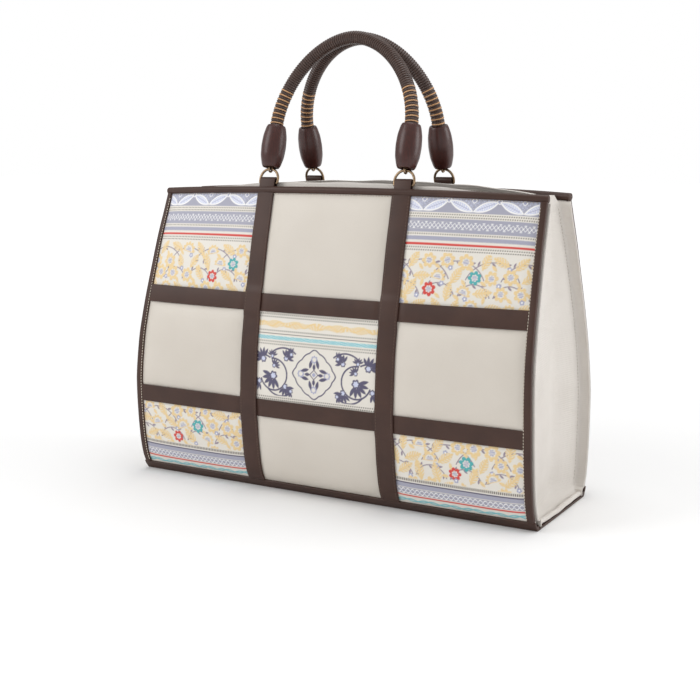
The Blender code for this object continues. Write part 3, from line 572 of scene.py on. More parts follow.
def closed_pad(side, x, z, height):
    """The pad's face on the wall, closed behind by rings that shrink to one point on its back."""
    outer = on_wall(side, x, z, height)
    rows, columns = x.shape
    index = np.arange(rows * columns).reshape(rows, columns)
    edge = np.concatenate([index[0], index[1:, -1], index[-1, -2::-1], index[-2:0:-1, 0]])
    edge_x, edge_z = x.ravel()[edge], z.ravel()[edge]
    middle_x, middle_z = edge_x.mean(), edge_z.mean()
    shares = np.array([1.0, 0.75, 0.5, 0.25])[:, None]
    ring_x, ring_z = middle_x + shares * (edge_x - middle_x), middle_z + shares * (edge_z - middle_z)
    rings = on_wall(side, ring_x, ring_z, 0.35)
    centre = on_wall(side, np.array([middle_x]), np.array([middle_z]), np.array([0.35]))
    points = np.concatenate([outer.reshape(-1, 3), rings.reshape(-1, 3), centre])
    start, count = rows * columns, len(edge)
    after, here = np.roll(edge, -1), np.arange(count)
    following = (here + 1) % count
    sides = np.stack([after, edge, here + start, following + start], -1)
    last = start + 3 * count
    fan = np.stack([here + last, following + last, np.full(count, len(points) - 1)], -1)
    return points, [grid_faces(rows, columns), sides, grid_faces(4, count, around=True) + start, fan]


for label, side in SIDES.items():
    for column in CELL_COLUMNS:
        for row in ("bottom", "middle", "top"):
            if side < 0 and (column == "middle") == (row == "middle"):
                continue
            x, z, height, pad = padded_cell(side, row, column, 3.5, 1.5, 0.16)
            piece = make_piece(
                f"{label}_padded_cowhide_{row}_{column}",
                closed_pad(side, x, z, height),
                cowhide,
                "bag",
                [f"{label}_leather_{row}_{column}"],
            )


# The brocade cells: silk figured in bands on a cream ground. The patterns are traditional kinds, laid out
# afresh: leaf pairs, chains of lozenges, ruled stripes, flowering vines and a lobed medallion.
INK = {
    name: np.array(linear(code)[:3])
    for name, code in {
        "cream": "#E3DED5",
        "grey": "#A3A3B2",
        "pale_lavender": "#CBD0E6",
        "white": "#F6F5F3",
        "dot": "#5E574F",
        "red": "#D0453D",
        "gold": "#E3C285",
        # Painted highlight for the ridges of the gold satin floats.
        "gold_painted_highlight": "#EDDFBC",
        "teal": "#4FA9AC",
        "mauve": "#8F8290",
        "lavender": "#A6A8C2",
        "indigo": "#56526C",
        "sky": "#7CC0C8",
    }.items()
}


class Cloth:
    """The figured face of one piece: s runs across it and t down it, in millimetres along the cloth."""

    def __init__(self, s, t):
        self.s, self.t = s, t
        self.colour = np.tile(INK["cream"], (*s.shape, 1))
        self.height = np.zeros(s.shape)
        self.window = np.ones(s.shape)
        # Bands across the threads: on gold they place a painted highlight, and in hearts and buds they cut the
        # lavender into stripes.
        self.streak = 0.5 + 0.5 * np.sin(2 * np.pi * (t / 1.25 + 0.15 * np.sin(s / 1.7)))

    def band(self, top, height):
        """Limits painting to a band and gives the distance down from its top."""
        self.window = np.clip((self.t - top) / 0.3 + 0.5, 0, 1) * np.clip((top + height - self.t) / 0.3 + 0.5, 0, 1)
        return self.t - top

    def paint(self, distance, ink, lift=0.0, soft=0.5):
        """Covers where the signed distance to an outline is negative, over a soft edge, and raises it."""
        cover = np.clip(0.5 - distance / soft, 0, 1) * self.window
        self.colour += (INK[ink] - self.colour) * cover[..., None]
        self.height += (lift - self.height) * cover * (lift > 0)

    def paint_gold(self, distance, lift=0.22):
        """Gold floats: satin threads that run across, with a painted highlight in pale gold along their ridges."""
        self.paint(distance, "gold", lift)
        # Painted highlight: pale gold streaks over the gold, where the ridges of its satin threads would catch the
        # light.
        cover = np.clip(0.5 - distance / 0.5, 0, 1) * self.window * self.streak * 0.6
        self.colour += (INK["gold_painted_highlight"] - self.colour) * cover[..., None]

    def turned(self, x, y, turn):
        """Distances from a point along and across a direction."""
        c, d = math.cos(turn), math.sin(turn)
        p, q = self.s - x, self.t - y
        return c * p + d * q, c * q - d * p

    def leaf(self, x, y, length, width, turn):
        """Signed distance to a leaf: its half width is a parabola of the place along it."""
        p, q = self.turned(x, y, turn)
        return np.abs(q) - width / 2 * (1 - (2 * p / length) ** 2)

    def flower(self, x, y, radius, petals, turn=0.0, depth=0.3):
        """Signed distance to a flower: its radius swings with the cosine of half its petals' angle."""
        p, q = self.turned(x, y, turn)
        swing = np.abs(np.cos(petals / 2 * np.arctan2(q, p))) ** 0.7
        return np.hypot(p, q) - radius * (1 - depth + depth * swing)

    def ring(self, x, y, radius, width):
        """Signed distance to a ring."""
        return np.abs(np.hypot(self.s - x, self.t - y) - radius) - width / 2

    def arc(self, x, y, radius, width, start, sweep):
        """Signed distance to part of a ring, from an angle and over a sweep."""
        angle = (np.arctan2(self.t - y, self.s - x) - start) % (2 * np.pi)
        return np.where(angle <= sweep, self.ring(x, y, radius, width), 9.0)

    def ticks(self, top, rows, pitch=2.0, tall=0.5):
        """Rows of small woven ticks on the ground."""
        for i in range(rows):
            y = top + 1.1 + 2.2 * i
            cell = (self.s + 0.5 * pitch * i) % pitch - pitch / 2
            self.paint(np.maximum(np.abs(cell) - 0.5, np.abs(self.t - y) - tall), "dot", soft=0.5)


def leaf_band(cloth, top, height):
    """Outlined leaves in V pairs, repeated every 42.5 mm, on a grey ground that is speckled above them."""
    y = cloth.band(top, height)
    cloth.paint(-y - 9, "grey", 0.05)
    speck = np.sin(cloth.s * 2.9 + 3 * np.sin(cloth.t * 1.7)) * np.sin(cloth.t * 3.1 + 2 * np.sin(cloth.s * 1.3))
    upper = 6.5 + 2.5 * np.cos(2 * np.pi * cloth.s / 42.5)
    cloth.paint(np.where(y < upper, 0.35 - speck, 2.0), "pale_lavender", 0.1, 0.5)
    for middle in np.arange(-85, 86, 42.5):
        for way in (-1, 1):
            x, tilt = middle + way * 10.5, -way * 0.41
            shape = cloth.leaf(x, top + height / 2 + 0.4, 23.5, 7.6, tilt)
            cloth.paint(shape, "white", 0.3)
            cloth.paint(shape + 1.15, "pale_lavender", 0.16)
            p, q = cloth.turned(x, top + height / 2 + 0.4, tilt)
            veins = np.abs(np.sin(np.pi * (p + 0.6 * np.abs(q)) / 2.0)) - 0.35
            cloth.paint(np.maximum(shape + 1.5, veins), "white", 0.2, 0.5)
            cloth.paint(np.maximum(np.abs(p) - 7.5, np.abs(q) - 0.28), "lavender", 0.1)
        for x, r in ((middle + 21.2, 1.6), (middle, 1.5)):
            cloth.paint(cloth.flower(x, top + 1.9, r + 0.8, 4), "white", 0.2)
            cloth.paint(cloth.flower(x, top + 1.9, r, 4), "lavender", 0.1)


def stripe(cloth, top, height, ink, lift=0.12):
    """A plain ruled stripe."""
    cloth.band(top, height)
    cloth.paint(0 * cloth.s - 9, ink, lift)


def mottled_stripe(cloth, top, height, ink, fleck):
    """A stripe with darker or lighter flecks between its threads."""
    stripe(cloth, top, height, ink)
    spots = np.sin(cloth.s * 2.3 + 2.1 * np.sin(cloth.s * 0.37)) * np.sin(cloth.t * 3.7 + cloth.s)
    cloth.paint(0.45 - spots, fleck, 0.1, 0.5)


def lozenge_chain(cloth, top, height):
    """Two crossing zigzags that leave a chain of lozenges, with small dashes above and below."""
    y = cloth.band(top, height) - height / 2
    stripe(cloth, top, height, "grey", 0.05)
    wave = height * 0.34 * (np.abs((cloth.s / 3.5) % 2 - 1) * 2 - 1)
    for line in (wave, -wave):
        cloth.paint(np.abs(y - line) - 0.34, "white", 0.25, 0.4)
    spot = (cloth.s + 1.75) % 7 - 3.5
    cloth.paint(np.maximum(np.abs(spot) - 0.45, np.abs(y) - 0.45), "white", 0.2, 0.4)
    for way in (-1, 1):
        dash = (cloth.s + 3.5 * (way > 0)) % 7 - 3.5
        cloth.paint(np.maximum(np.abs(dash) - 1.1, np.abs(y - way * height * 0.43) - 0.3), "white", 0.2, 0.4)


def twisted_chain(cloth, top, height):
    """Two white cords that cross each other over a grey ground, with a spot in every loop."""
    stripe(cloth, top, height, "grey", 0.05)
    y = cloth.band(top, height) - height / 2
    for phase in (0.0, np.pi):
        cloth.paint(np.abs(y - 0.36 * height * np.sin(cloth.s / 1.35 + phase)) - 0.42, "white", 0.25, 0.4)
    spot = (cloth.s / 1.35 / np.pi - 0.5) % 1 - 0.5
    cloth.paint(np.hypot(spot * 4.2, y) - 0.5, "pale_lavender", 0.2, 0.4)


def bloom(cloth, x, y, size, turn, ink):
    """A flower: petals in gold or another ink round a cream ring and a lavender heart."""
    petals = cloth.flower(x, y, size, 7, turn, 0.36)
    if ink == "gold":
        cloth.paint_gold(petals)
    else:
        cloth.paint(petals, ink, 0.25)
    cloth.paint(cloth.flower(x, y, size * 0.5, 7, turn), "cream", 0.08)
    heart = cloth.flower(x, y, size * 0.38, 7, turn + 0.4)
    cloth.paint(np.maximum(heart, 0.3 - cloth.streak), "lavender", 0.16)


def feather(cloth, x, y, length, turn):
    """A gold leaf with combed edges: the leaf, cut by slanting gaps on both sides of its rib."""
    p, q = cloth.turned(x, y, turn)
    comb = 0.55 - np.abs(np.sin(np.pi * (p + 0.8 * np.abs(q)) / 2.5)) * 1.2
    gaps = np.where(np.abs(q) > 0.9, comb, -1.0)
    cloth.paint_gold(np.maximum(cloth.leaf(x, y, length, length * 0.46, turn), gaps))


def palmette(cloth, x, y, size, turn):
    """A fan: the outer half of a flower in gold, with a lavender bud in its lap."""
    p, q = cloth.turned(x, y, turn)
    fan = np.maximum(cloth.flower(x, y, size, 11, turn, 0.3), q - 0.2 * size)
    cloth.paint_gold(fan)
    cloth.paint(np.maximum(np.hypot(p, q) - 0.58 * size, q - 0.1 * size), "cream", 0.08)
    bud = np.maximum(cloth.flower(x, y, size * 0.42, 6, turn), q - 0.1 * size)
    cloth.paint(np.maximum(bud, 0.35 - cloth.streak), "lavender", 0.16)


def flowering_vines(cloth, top, height, seed):
    """Arching vines over which flowers, fans and combed leaves stand in staggered rows, a little shaken."""
    cloth.band(top, height)
    chance = np.random.default_rng(seed)
    up = 1.5 * np.pi
    for middle in np.arange(-75, 76, 30) + 4 * (seed % 3):
        for reach, foot, spread in ((25.0, 31.0, 1.15), (14.0, 38.0, 1.3)):
            x = middle + (15 if reach < 20 else 0)
            cloth.paint(cloth.arc(x, top + foot, reach, 0.85, up - spread, 2 * spread), "mauve", 0.16, 0.4)
            for k, angle in enumerate(np.linspace(up - 0.85 * spread, up + 0.85 * spread, 5)):
                way = 1 if k % 2 else -1
                lx = x + (reach + way * 1.8) * math.cos(angle)
                ly = top + foot + (reach + way * 1.8) * math.sin(angle)
                cloth.paint(cloth.leaf(lx, ly, 4.6, 1.7, angle + way * 0.9), "mauve", 0.16, 0.4)
    order = ("bloom", "feather", "fan", "feather", "bloom", "feather", "feather", "bloom", "fan", "feather")
    accents = {(2 + seed % 4, 2): "red", (6 - seed % 3, 1): "teal"}
    for j in range(int(height / 11.5) + 1):
        for i in range(9):
            shift = chance.uniform(-1.5, 1.5, 2)
            x, y = -62 + 15.5 * i + 7.7 * (j % 2) + shift[0], top + 6.5 + 11.8 * j + shift[1]
            turn, size = chance.uniform(-0.9, 0.9), chance.uniform(0.9, 1.12)
            kind = accents.get((i, j), order[(3 * i + 4 * j + seed) % len(order)])
            if kind == "feather":
                feather(cloth, x, y, 16.5 * size, turn + (2.2 if i % 2 else 0.6))
            elif kind == "fan":
                palmette(cloth, x, y + 1.5, 7.0 * size, 0.5 * turn)
            else:
                bloom(cloth, x, y, (5.6 if kind in INK else 6.6) * size, turn, kind if kind in INK else "gold")
            bud_x, bud_y = x + 7.6 * math.cos(turn + 0.6), y + 6.2 * math.sin(turn + 1.2)
            if (i + j) % 3 == 0:
                cloth.paint(cloth.flower(bud_x, bud_y, 2.2, 5, turn), "lavender", 0.16)
                cloth.paint(cloth.flower(bud_x, bud_y, 0.8, 5, turn), "white", 0.2)
            else:
                cloth.paint_gold(cloth.leaf(bud_x, bud_y, 6.5, 2.8, turn + 1.0))


def gold_wave(cloth, top, height):
    """A dense gold scroll: slanting strokes whose slope swings, woven over a wavy stem."""
    y = cloth.band(top, height) - height / 2
    body = np.abs(y) - 0.36 * height * (0.75 + 0.25 * np.cos(cloth.s / 3.3))
    strokes = 0.45 - np.abs(np.sin(np.pi * (cloth.s + 1.6 * y * np.sin(cloth.s / 9.0)) / 3.1)) * 1.1
    cloth.paint_gold(np.maximum(body, strokes))
    cloth.paint_gold(np.abs(y - 0.2 * height * np.sin(cloth.s / 2.6)) - 0.7)


def spray(cloth, x, y, size, turn, count=6):
    """A fan of slim indigo leaves that spring from one point, with a pale heart."""
    for angle in turn + np.linspace(-1.15, 1.15, count):
        lx, ly = x + 0.62 * size * math.cos(angle), y + 0.62 * size * math.sin(angle)
        cloth.paint(cloth.leaf(lx, ly, 0.85 * size, 0.28 * size, angle), "indigo", 0.25, 0.4)
    cloth.paint(cloth.flower(x, y, 0.36 * size, 6, turn), "indigo", 0.25, 0.4)
    cloth.paint(cloth.flower(x, y, 0.22 * size, 6, turn), "pale_lavender", 0.15, 0.4)


def arabesque(cloth, top, height):
    """A cusped lozenge medallion between indigo scrolls with leaf sprays, on the cream ground."""
    cloth.band(top, height)
    y = top + height / 2
    for way in (-1, 1):
        for x, dy, reach, start, sweep in (
            (40.0, 3.0, 13.5, 0.3, 4.6),
            (30.0, -2.0, 18.0, 4.0, 1.5),
            (52.0, 4.0, 17.0, 4.2, 1.9),
            (33.0, 4.0, 17.0, 0.7, 1.5),
        ):
            angle = start if way > 0 else math.pi - start - sweep
            cloth.paint(cloth.arc(way * x, y + dy, reach, 1.4, angle, sweep), "indigo", 0.2, 0.4)
        for x, dy, size, turn in (
            (40.0, 4.0, 11.5, 0.9),
            (27.5, -11.5, 7.5, -2.2),
            (28.0, 12.5, 8.5, 1.9),
            (51.0, -9.5, 9.5, -0.9),
            (55.0, 10.0, 8.0, 0.6),
            (41.5, -12.5, 5.5, -1.6),
            (22.5, -15.0, 6.0, -0.7),
            (22.5, 16.0, 6.0, 0.5),
            (39.5, -4.5, 6.0, -2.3),
        ):
            spray(cloth, way * x, y + dy, size, turn if way > 0 else math.pi - turn)
    p, q = cloth.turned(0.0, y, 0.0)
    angle = np.arctan2(q, p)
    lozenge = (np.abs(p) ** 1.35 + np.abs(q) ** 1.35) ** (1 / 1.35) - 19.8 - 0.9 * np.abs(np.cos(6 * angle))
    cloth.paint(lozenge - 1.6, "cream", 0.05, 0.4)
    cloth.paint(np.abs(lozenge) - 0.62, "indigo", 0.25, 0.4)
    for k in range(4):
        turn = k * math.pi / 2
        fx, fy = 12.6 * math.cos(turn), y + 12.6 * math.sin(turn)
        cloth.paint(cloth.flower(fx, fy, 3.4, 8, turn), "lavender", 0.15, 0.4)
        cloth.paint(cloth.flower(fx, fy, 2.0, 8, turn), "cream", 0.1, 0.4)
        diagonal = turn + math.pi / 4
        for sweep in (-0.42, 0.42):
            lx, ly = 9.4 * math.cos(diagonal + sweep), y + 9.4 * math.sin(diagonal + sweep)
            cloth.paint(cloth.leaf(lx, ly, 8.0, 3.0, diagonal + 2.4 * sweep), "indigo", 0.25, 0.4)
        lx, ly = 6.4 * math.cos(turn), y + 6.4 * math.sin(turn)
        cloth.paint(cloth.leaf(lx, ly, 5.4, 2.8, turn), "indigo", 0.25, 0.4)
    cloth.paint(np.abs(np.abs(p) + np.abs(q) - 3.9) - 0.5, "indigo", 0.25, 0.4)
    cloth.paint(cloth.flower(0.0, y, 1.8, 4), "lavender", 0.15, 0.4)


def top_brocade(cloth, seed):
    """Leaf band, ruled stripes and a lozenge chain over a field of flowering vines."""
    leaf_band(cloth, 0.0, 12.5)
    cloth.band(12.5, 5.0)
    cloth.ticks(12.9, 2)
    stripe(cloth, 17.5, 2.6, "grey")
    lozenge_chain(cloth, 20.1, 6.2)
    stripe(cloth, 26.3, 2.6, "grey")
    cloth.band(28.9, 3.4)
    cloth.ticks(29.3, 1)
    mottled_stripe(cloth, 32.3, 3.2, "grey", "lavender")
    stripe(cloth, 37.6, 1.9, "red", 0.3)
    cloth.band(39.5, 5.4)
    cloth.ticks(40.2, 2)
    flowering_vines(cloth, 45.0, 48.0, seed)


def middle_brocade(cloth, seed):
    """Gold wave, turquoise stripe and rows of ticks over the medallion and its scrolls."""
    cloth.band(0.0, 5.0)
    cloth.ticks(0.2, 2)
    gold_wave(cloth, 5.0, 8.8)
    cloth.band(13.5, 6.0)
    cloth.ticks(14.0, 1)
    cloth.paint(np.abs(cloth.t - 17.6) - 0.3, "dot", soft=0.4)
    mottled_stripe(cloth, 19.4, 3.1, "sky", "white")
    cloth.band(22.5, 5.4)
    cloth.ticks(23.2, 2)
    arabesque(cloth, 28.0, 42.0)
    cloth.band(70.0, 6.0)
    cloth.ticks(70.6, 2)


def bottom_brocade(cloth, seed):
    """Flowering vines over ruled stripes, a twisted chain and a turquoise wave along the foot."""
    flowering_vines(cloth, -3.0, 38.5, seed)
    stripe(cloth, 35.0, 4.2, "cream")
    cloth.ticks(35.6, 1, 1.7, 1.1)
    stripe(cloth, 38.9, 1.3, "indigo", 0.25)
    mottled_stripe(cloth, 40.2, 3.4, "grey", "lavender")
    twisted_chain(cloth, 44.2, 5.6)
    stripe(cloth, 50.6, 1.3, "red", 0.3)
    y = cloth.band(53.0, 7.0) - 3.0
    for phase in (0.0, 2.1):
        cloth.paint(np.abs(y - 1.3 * np.sin(cloth.s / 3.1 + phase)) - 0.75, "sky", 0.2, 0.6)


# Silk brocade: a low sheen, raised where the pattern floats over the ground. The pattern, with a painted highlight
# on its gold floats, is a colour attribute worked out from distances, and a fine weave of 0.9 mm runs along the
# cloth's own map.
brocade, brocade_shader = new_finish("silk_brocade", 0.62)
brocade_shader.inputs["Sheen Weight"].default_value = 0.25
brocade_shader.inputs["Sheen Roughness"].default_value = 0.4
pattern = add_node(brocade, "Attribute", attribute_name="cloth_colour")
brocade_map = add_node(brocade, "UVMap", uv_map="cloth")
brocade_warp = add_node(
    brocade, "TexWave", {"Vector": brocade_map.outputs["UV"], "Scale": 35.0}, bands_direction="X"
)
brocade_weft = add_node(
    brocade, "TexWave", {"Vector": brocade_map.outputs["UV"], "Scale": 28.0}, bands_direction="Y"
)
brocade_cross = add_node(
    brocade, "Math", {0: brocade_warp.outputs["Fac"], 1: brocade_weft.outputs["Fac"]}, operation="MULTIPLY"
)
brocade_bump = add_node(
    brocade, "Bump", {"Height": brocade_cross.outputs["Value"], "Strength": 0.25, "Distance": 0.0002}
)
brocade.node_tree.links.new(pattern.outputs["Color"], brocade_shader.inputs["Base Color"])
brocade.node_tree.links.new(brocade_bump.outputs["Normal"], brocade_shader.inputs["Normal"])

BROCADES = {
    ("top", "left"): (top_brocade, 3),
    ("top", "right"): (top_brocade, 8),
    ("middle", "middle"): (middle_brocade, 1),
    ("bottom", "left"): (bottom_brocade, 5),
    ("bottom", "right"): (bottom_brocade, 2),
}
THREAD_STEP = 0.5

for (row, column), (figure, seed) in BROCADES.items():
    x, z, height, pad = padded_cell(-1, row, column, 1.7, THREAD_STEP, 0.05)
    low_x, high_x = CELL_COLUMNS[column][1:3]
    rim_edge = row_edges(row, x[:1])[2]
    face = on_wall(-1, x, z, 1.5)
    steps = np.linalg.norm(np.diff(face, axis=0), axis=2)
    run = np.concatenate([np.zeros((1, x.shape[1])), np.cumsum(steps, axis=0)])
    top_run = np.stack([np.interp(rim_edge[0, k], z[:, k], run[:, k]) for k in range(x.shape[1])])
    cloth = Cloth(x - (low_x + high_x) / 2, top_run[None, :] - run)
    figure(cloth, seed)
    shown = height + cloth.height * np.minimum(1, 3 * pad)
    solid = closed_pad(-1, x, z, shown)
    weave_map = np.zeros((len(solid[0]), 2))
    weave_map[: x.size] = np.stack([cloth.s, cloth.t], -1).reshape(-1, 2) / 100
    colours = cloth.colour.reshape(-1, 3)
    fill = np.tile(INK["cream"], (len(solid[0]) - len(colours), 1))
    piece = make_piece(
        f"front_padded_brocade_{row}_{column}",
        solid,
        brocade,
        "bag",
        [f"front_brocade_{row}_{column}"],
        colour=np.concatenate([colours, fill]),
        uv=weave_map,
        crease=80,
    )


# Strips and straps: dark brown bridle leather, cut in bands with rubbed, rounded edges. The strips cross the
# whole width, and the straps run from base to rim over them, with a small climb at each crossing.
bridle, bridle_shader = new_finish("brown_bridle_leather", 0.48)
bridle_shader.inputs["Specular IOR Level"].default_value = 0.35
bridle_place = add_node(bridle, "TexCoord")
bridle_cloud = add_node(
    bridle, "TexNoise", {"Vector": bridle_place.outputs["Object"], "Scale": 45.0, "Detail": 5.0}
)
bridle_tint = add_node(
    bridle,
    "Mix",
    {0: bridle_cloud.outputs["Fac"], 6: linear("#33201A"), 7: linear("#4B3228")},
    data_type="RGBA",
)
bridle_pores = add_node(
    bridle, "TexNoise", {"Vector": bridle_place.outputs["Object"], "Scale": 1100.0, "Detail": 2.0}
)
bridle_bump = add_node(
    bridle, "Bump", {"Height": bridle_pores.outputs["Fac"], "Strength": 0.25, "Distance": 0.0002}
)
bridle.node_tree.links.new(bridle_tint.outputs[2], bridle_shader.inputs["Base Color"])
bridle.node_tree.links.new(bridle_bump.outputs["Normal"], bridle_shader.inputs["Normal"])
bpy.data.objects["base"].data.materials.clear()
bpy.data.objects["base"].data.materials.append(bridle)


def rounded_bar(left, right, low, high, radius, steps=5):
    """Outline of a bar: each corner is its centre plus the radius times cosine and sine over a quarter turn."""
    c, d = np.cos(np.linspace(0, np.pi / 2, steps)) * radius, np.sin(np.linspace(0, np.pi / 2, steps)) * radius
    left, right, low, high = left + radius, right - radius, low + radius, high - radius
    corners = [(right + c, high + d), (left - d, high + c), (left - c, low - d), (right + d, low - c)]
    return np.concatenate([np.stack(corner, -1) for corner in corners])


def ramp(value, start, end):
    """0 before start and 1 after end, eased as 3t2 - 2t3 between."""
    t = np.clip((value - start) / (end - start), 0, 1)
    return t * t * (3 - 2 * t)


def strap_lift(z):
    """How high a strap rides at height z: 0.9 mm over each strip, with 7 mm ramps beside it."""
    lift = 0 * z
    for middle in (74.5, 164.0):
        lift = lift + 0.9 * ramp(z, middle - 14.5, middle - 7.5) * (1 - ramp(z, middle + 7.5, middle + 14.5))
    return lift


def strip_dip(x):
    """How far a strip is pressed down at x: 0.6 mm under each strap, easing off over 6 mm beside it."""
    return 0.6 * (1 - ramp(np.abs(np.abs(x) - 66.0), 8.5, 14.5))


for label, side in SIDES.items():
    for place, middle in (("lower", 74.5), ("upper", 164.0)):
        outline = rounded_bar(-7.5, 7.5, 1.8, 3.15, 0.6)
        x = np.linspace(-184.6, 184.6, 240)[:, None]
        face = np.where(outline[None, :, 1] > 2.4, outline[None, :, 1] - strip_dip(x), outline[None, :, 1])
        strip = lofted(on_wall(side, x, middle + outline[None, :, 0], face))
        make_piece(f"{label}_{place}_leather_strip", strip, bridle, "bag", [f"{label}_strip_{place}"])
    for place, way in ENDS.items():
        outline = rounded_bar(-8.5, 8.5, 1.8, 3.15, 0.6)
        head = float(rim_height(np.array(66.0))) - 4.9
        z = np.linspace(9.3, head, 190)[:, None]
        strap_x = way * 66.0 + outline[None, :, 0]
        strap = lofted(on_wall(side, strap_x, z, outline[None, :, 1] + strap_lift(z)))
        make_piece(f"{label}_{place}_leather_strap", strap, bridle, "bag", [f"{label}_strap_{place}"])
        seams = []
        for edge in (-6.9, 6.9):
            seam_z = np.linspace(11.0, head - 1.0, 260)
            seam_x = np.full(seam_z.shape, way * 66.0 + edge)
            seam = on_wall(side, seam_x, seam_z, 3.1 + strap_lift(seam_z))
            seams.append(stitches(seam, wall_frame(side, seam_x, seam_z)[1], 2.6, 1.7, 0.2))
        make_piece(f"{label}_{place}_strap_stitches", joined(seams), brown_thread, "bag")


# Bindings: the same leather folded over the raw edges of the wall. The rim's is a soft roll, the side ones
# carry a line of cream stitches along their inner edge, and the bottom one is the welt on the base.
def tapered(sections):
    """Draws in the last ring at each end towards its centre, so that a band ends rounded."""
    first, last = sections[:1], sections[-1:]
    ends = [ring.mean(1, keepdims=True) + 0.72 * (ring - ring.mean(1, keepdims=True)) for ring in (first, last)]
    return np.concatenate([ends[0], sections[1:-1], ends[1]])


for label, side in SIDES.items():
    outline = rounded_bar(-5.2, 0.6, -2.6, 4.3, 2.8, 7)
    x = np.concatenate([[-191.9, -191.2], np.linspace(-190, 190, 150), [191.2, 191.9]])[:, None]
    roll = tapered(on_rim(side, x, outline[None, :, 0], outline[None, :, 1]))
    make_piece(f"{label}_rim_leather_roll", lofted(roll), bridle, "bag", [f"{label}_binding_rim"])
    seams = []
    for low_x, high_x in ((-182.0, -75.5), (-56.5, 56.5), (75.5, 182.0)):
        seam_x = np.linspace(low_x, high_x, 160)
        seam = on_rim(side, seam_x, -5.9 + 0 * seam_x, 2.3 + 0 * seam_x)
        seams.append(stitches(seam, wall_frame(side, seam_x, rim_height(seam_x))[1], 2.6, 1.5, 0.3))
    make_piece(f"{label}_rim_stitches", joined(seams), grey_thread, "bag")
    for place, way in ENDS.items():
        outline = rounded_bar(184.4, 190.9, -1.2, 3.5, 1.6, 6)
        z = np.linspace(9.2, 253.2, 150)[:, None]
        edge = on_wall(side, way * outline[None, :, 0] + 0 * z, z, outline[None, :, 1] + 0 * z)
        make_piece(
            f"{label}_{place}_leather_binding", lofted(edge), bridle, "bag", [f"{label}_binding_{place}"]
        )
        seam_z = np.linspace(11.0, 250.0, 260)
        seam_x = np.full(seam_z.shape, way * 185.1)
        seam = on_wall(side, seam_x, seam_z, 3.1)
        seam_stitches = stitches(seam, wall_frame(side, seam_x, seam_z)[1], 2.5, 1.6, 0.36)
        make_piece(f"{label}_{place}_binding_stitches", seam_stitches, cream_thread, "bag")
    x = np.concatenate([[-191.7], np.linspace(-190, 190, 120), [191.7]])
    foot = on_wall(side, x, 3.9, 3.2)
    inner_y, outer_y = np.full(x.shape, side * 49.8), foot[:, 1]
    welt_points = [
        np.stack([x, inner_y, 0 * x], -1),
        np.stack([x, outer_y - side * 1.6, 0 * x], -1),
        np.stack([x, outer_y - side * 0.2, 0 * x + 1.2], -1),
        foot,
        on_wall(side, x, 6.4, 3.3),
        on_wall(side, x, 8.6, 3.2),
        on_wall(side, x, 9.0, 2.6),
        on_wall(side, x, 9.0, 1.8),
        on_wall(side, x, 3.9, 1.8),
        on_wall(side, x, 3.9, -1.4),
    ]
    welt = lofted(np.stack(welt_points, 1))
    make_piece(f"{label}_bottom_leather_welt", welt, bridle, "bag", [f"{label}_binding_bottom"])


# Tabs: a leather loop over the rim at each strap, holding a ring. D-rings and eyes are bent brass wire with
# an antique finish, bright where they rub and brown in between.
TAB_RISE, LOOP_OFFSET, LOOP_R, LOOP_SPARE = 3.6, 0.15, 1.65, 2.6
LEAN = math.radians(14.844366725882281)
PIVOT_Y, PIVOT_Z = 38.9991, 265.1458

brass, brass_shader = new_finish("antique_brass", 0.3)
brass_shader.inputs["Metallic"].default_value = 1.0
brass_place = add_node(brass, "TexCoord")
tarnish = add_node(brass, "TexNoise", {"Vector": brass_place.outputs["Object"], "Scale": 260.0, "Detail": 4.0})
brass_tint = add_node(
    brass,
    "Mix",
    {0: tarnish.outputs["Fac"], 6: linear("#6B5644"), 7: linear("#B59C7E")},
    data_type="RGBA",
)
brass_wear = add_node(brass, "MapRange", {0: tarnish.outputs["Fac"], 3: 0.42, 4: 0.24})
brass.node_tree.links.new(brass_tint.outputs[2], brass_shader.inputs["Base Color"])
brass.node_tree.links.new(brass_wear.outputs[0], brass_shader.inputs["Roughness"])


def handle_point(side, x, u, out=0.0):
    """A point of a handle's plane, which stands on the rings' bars and leans in by LEAN."""
    x, u, out = np.broadcast_arrays(x, u, out)
    y = side * (PIVOT_Y - u * math.sin(LEAN) + out * math.cos(LEAN))
    return np.stack([x, y, PIVOT_Z + u * math.cos(LEAN) + out * math.sin(LEAN)], -1)


def wire(side, path, radius, sides, closed=False):
    """Rings of a round wire along a path of (x, u) points in a handle's plane."""
    if closed:
        along = np.roll(path, -1, axis=0) - np.roll(path, 1, axis=0)
    else:
        along = np.gradient(path, axis=0)
    along = along / np.linalg.norm(along, axis=1, keepdims=True)
    turn = np.linspace(0, 2 * np.pi, sides, endpoint=False)[None, :]
    radius = np.broadcast_to(radius, len(path))[:, None]
    x = path[:, :1] + radius * np.cos(turn) * along[:, 1:]
    u = path[:, 1:] - radius * np.cos(turn) * along[:, :1]
    return lofted(handle_point(side, x, u, radius * np.sin(turn)), closed)


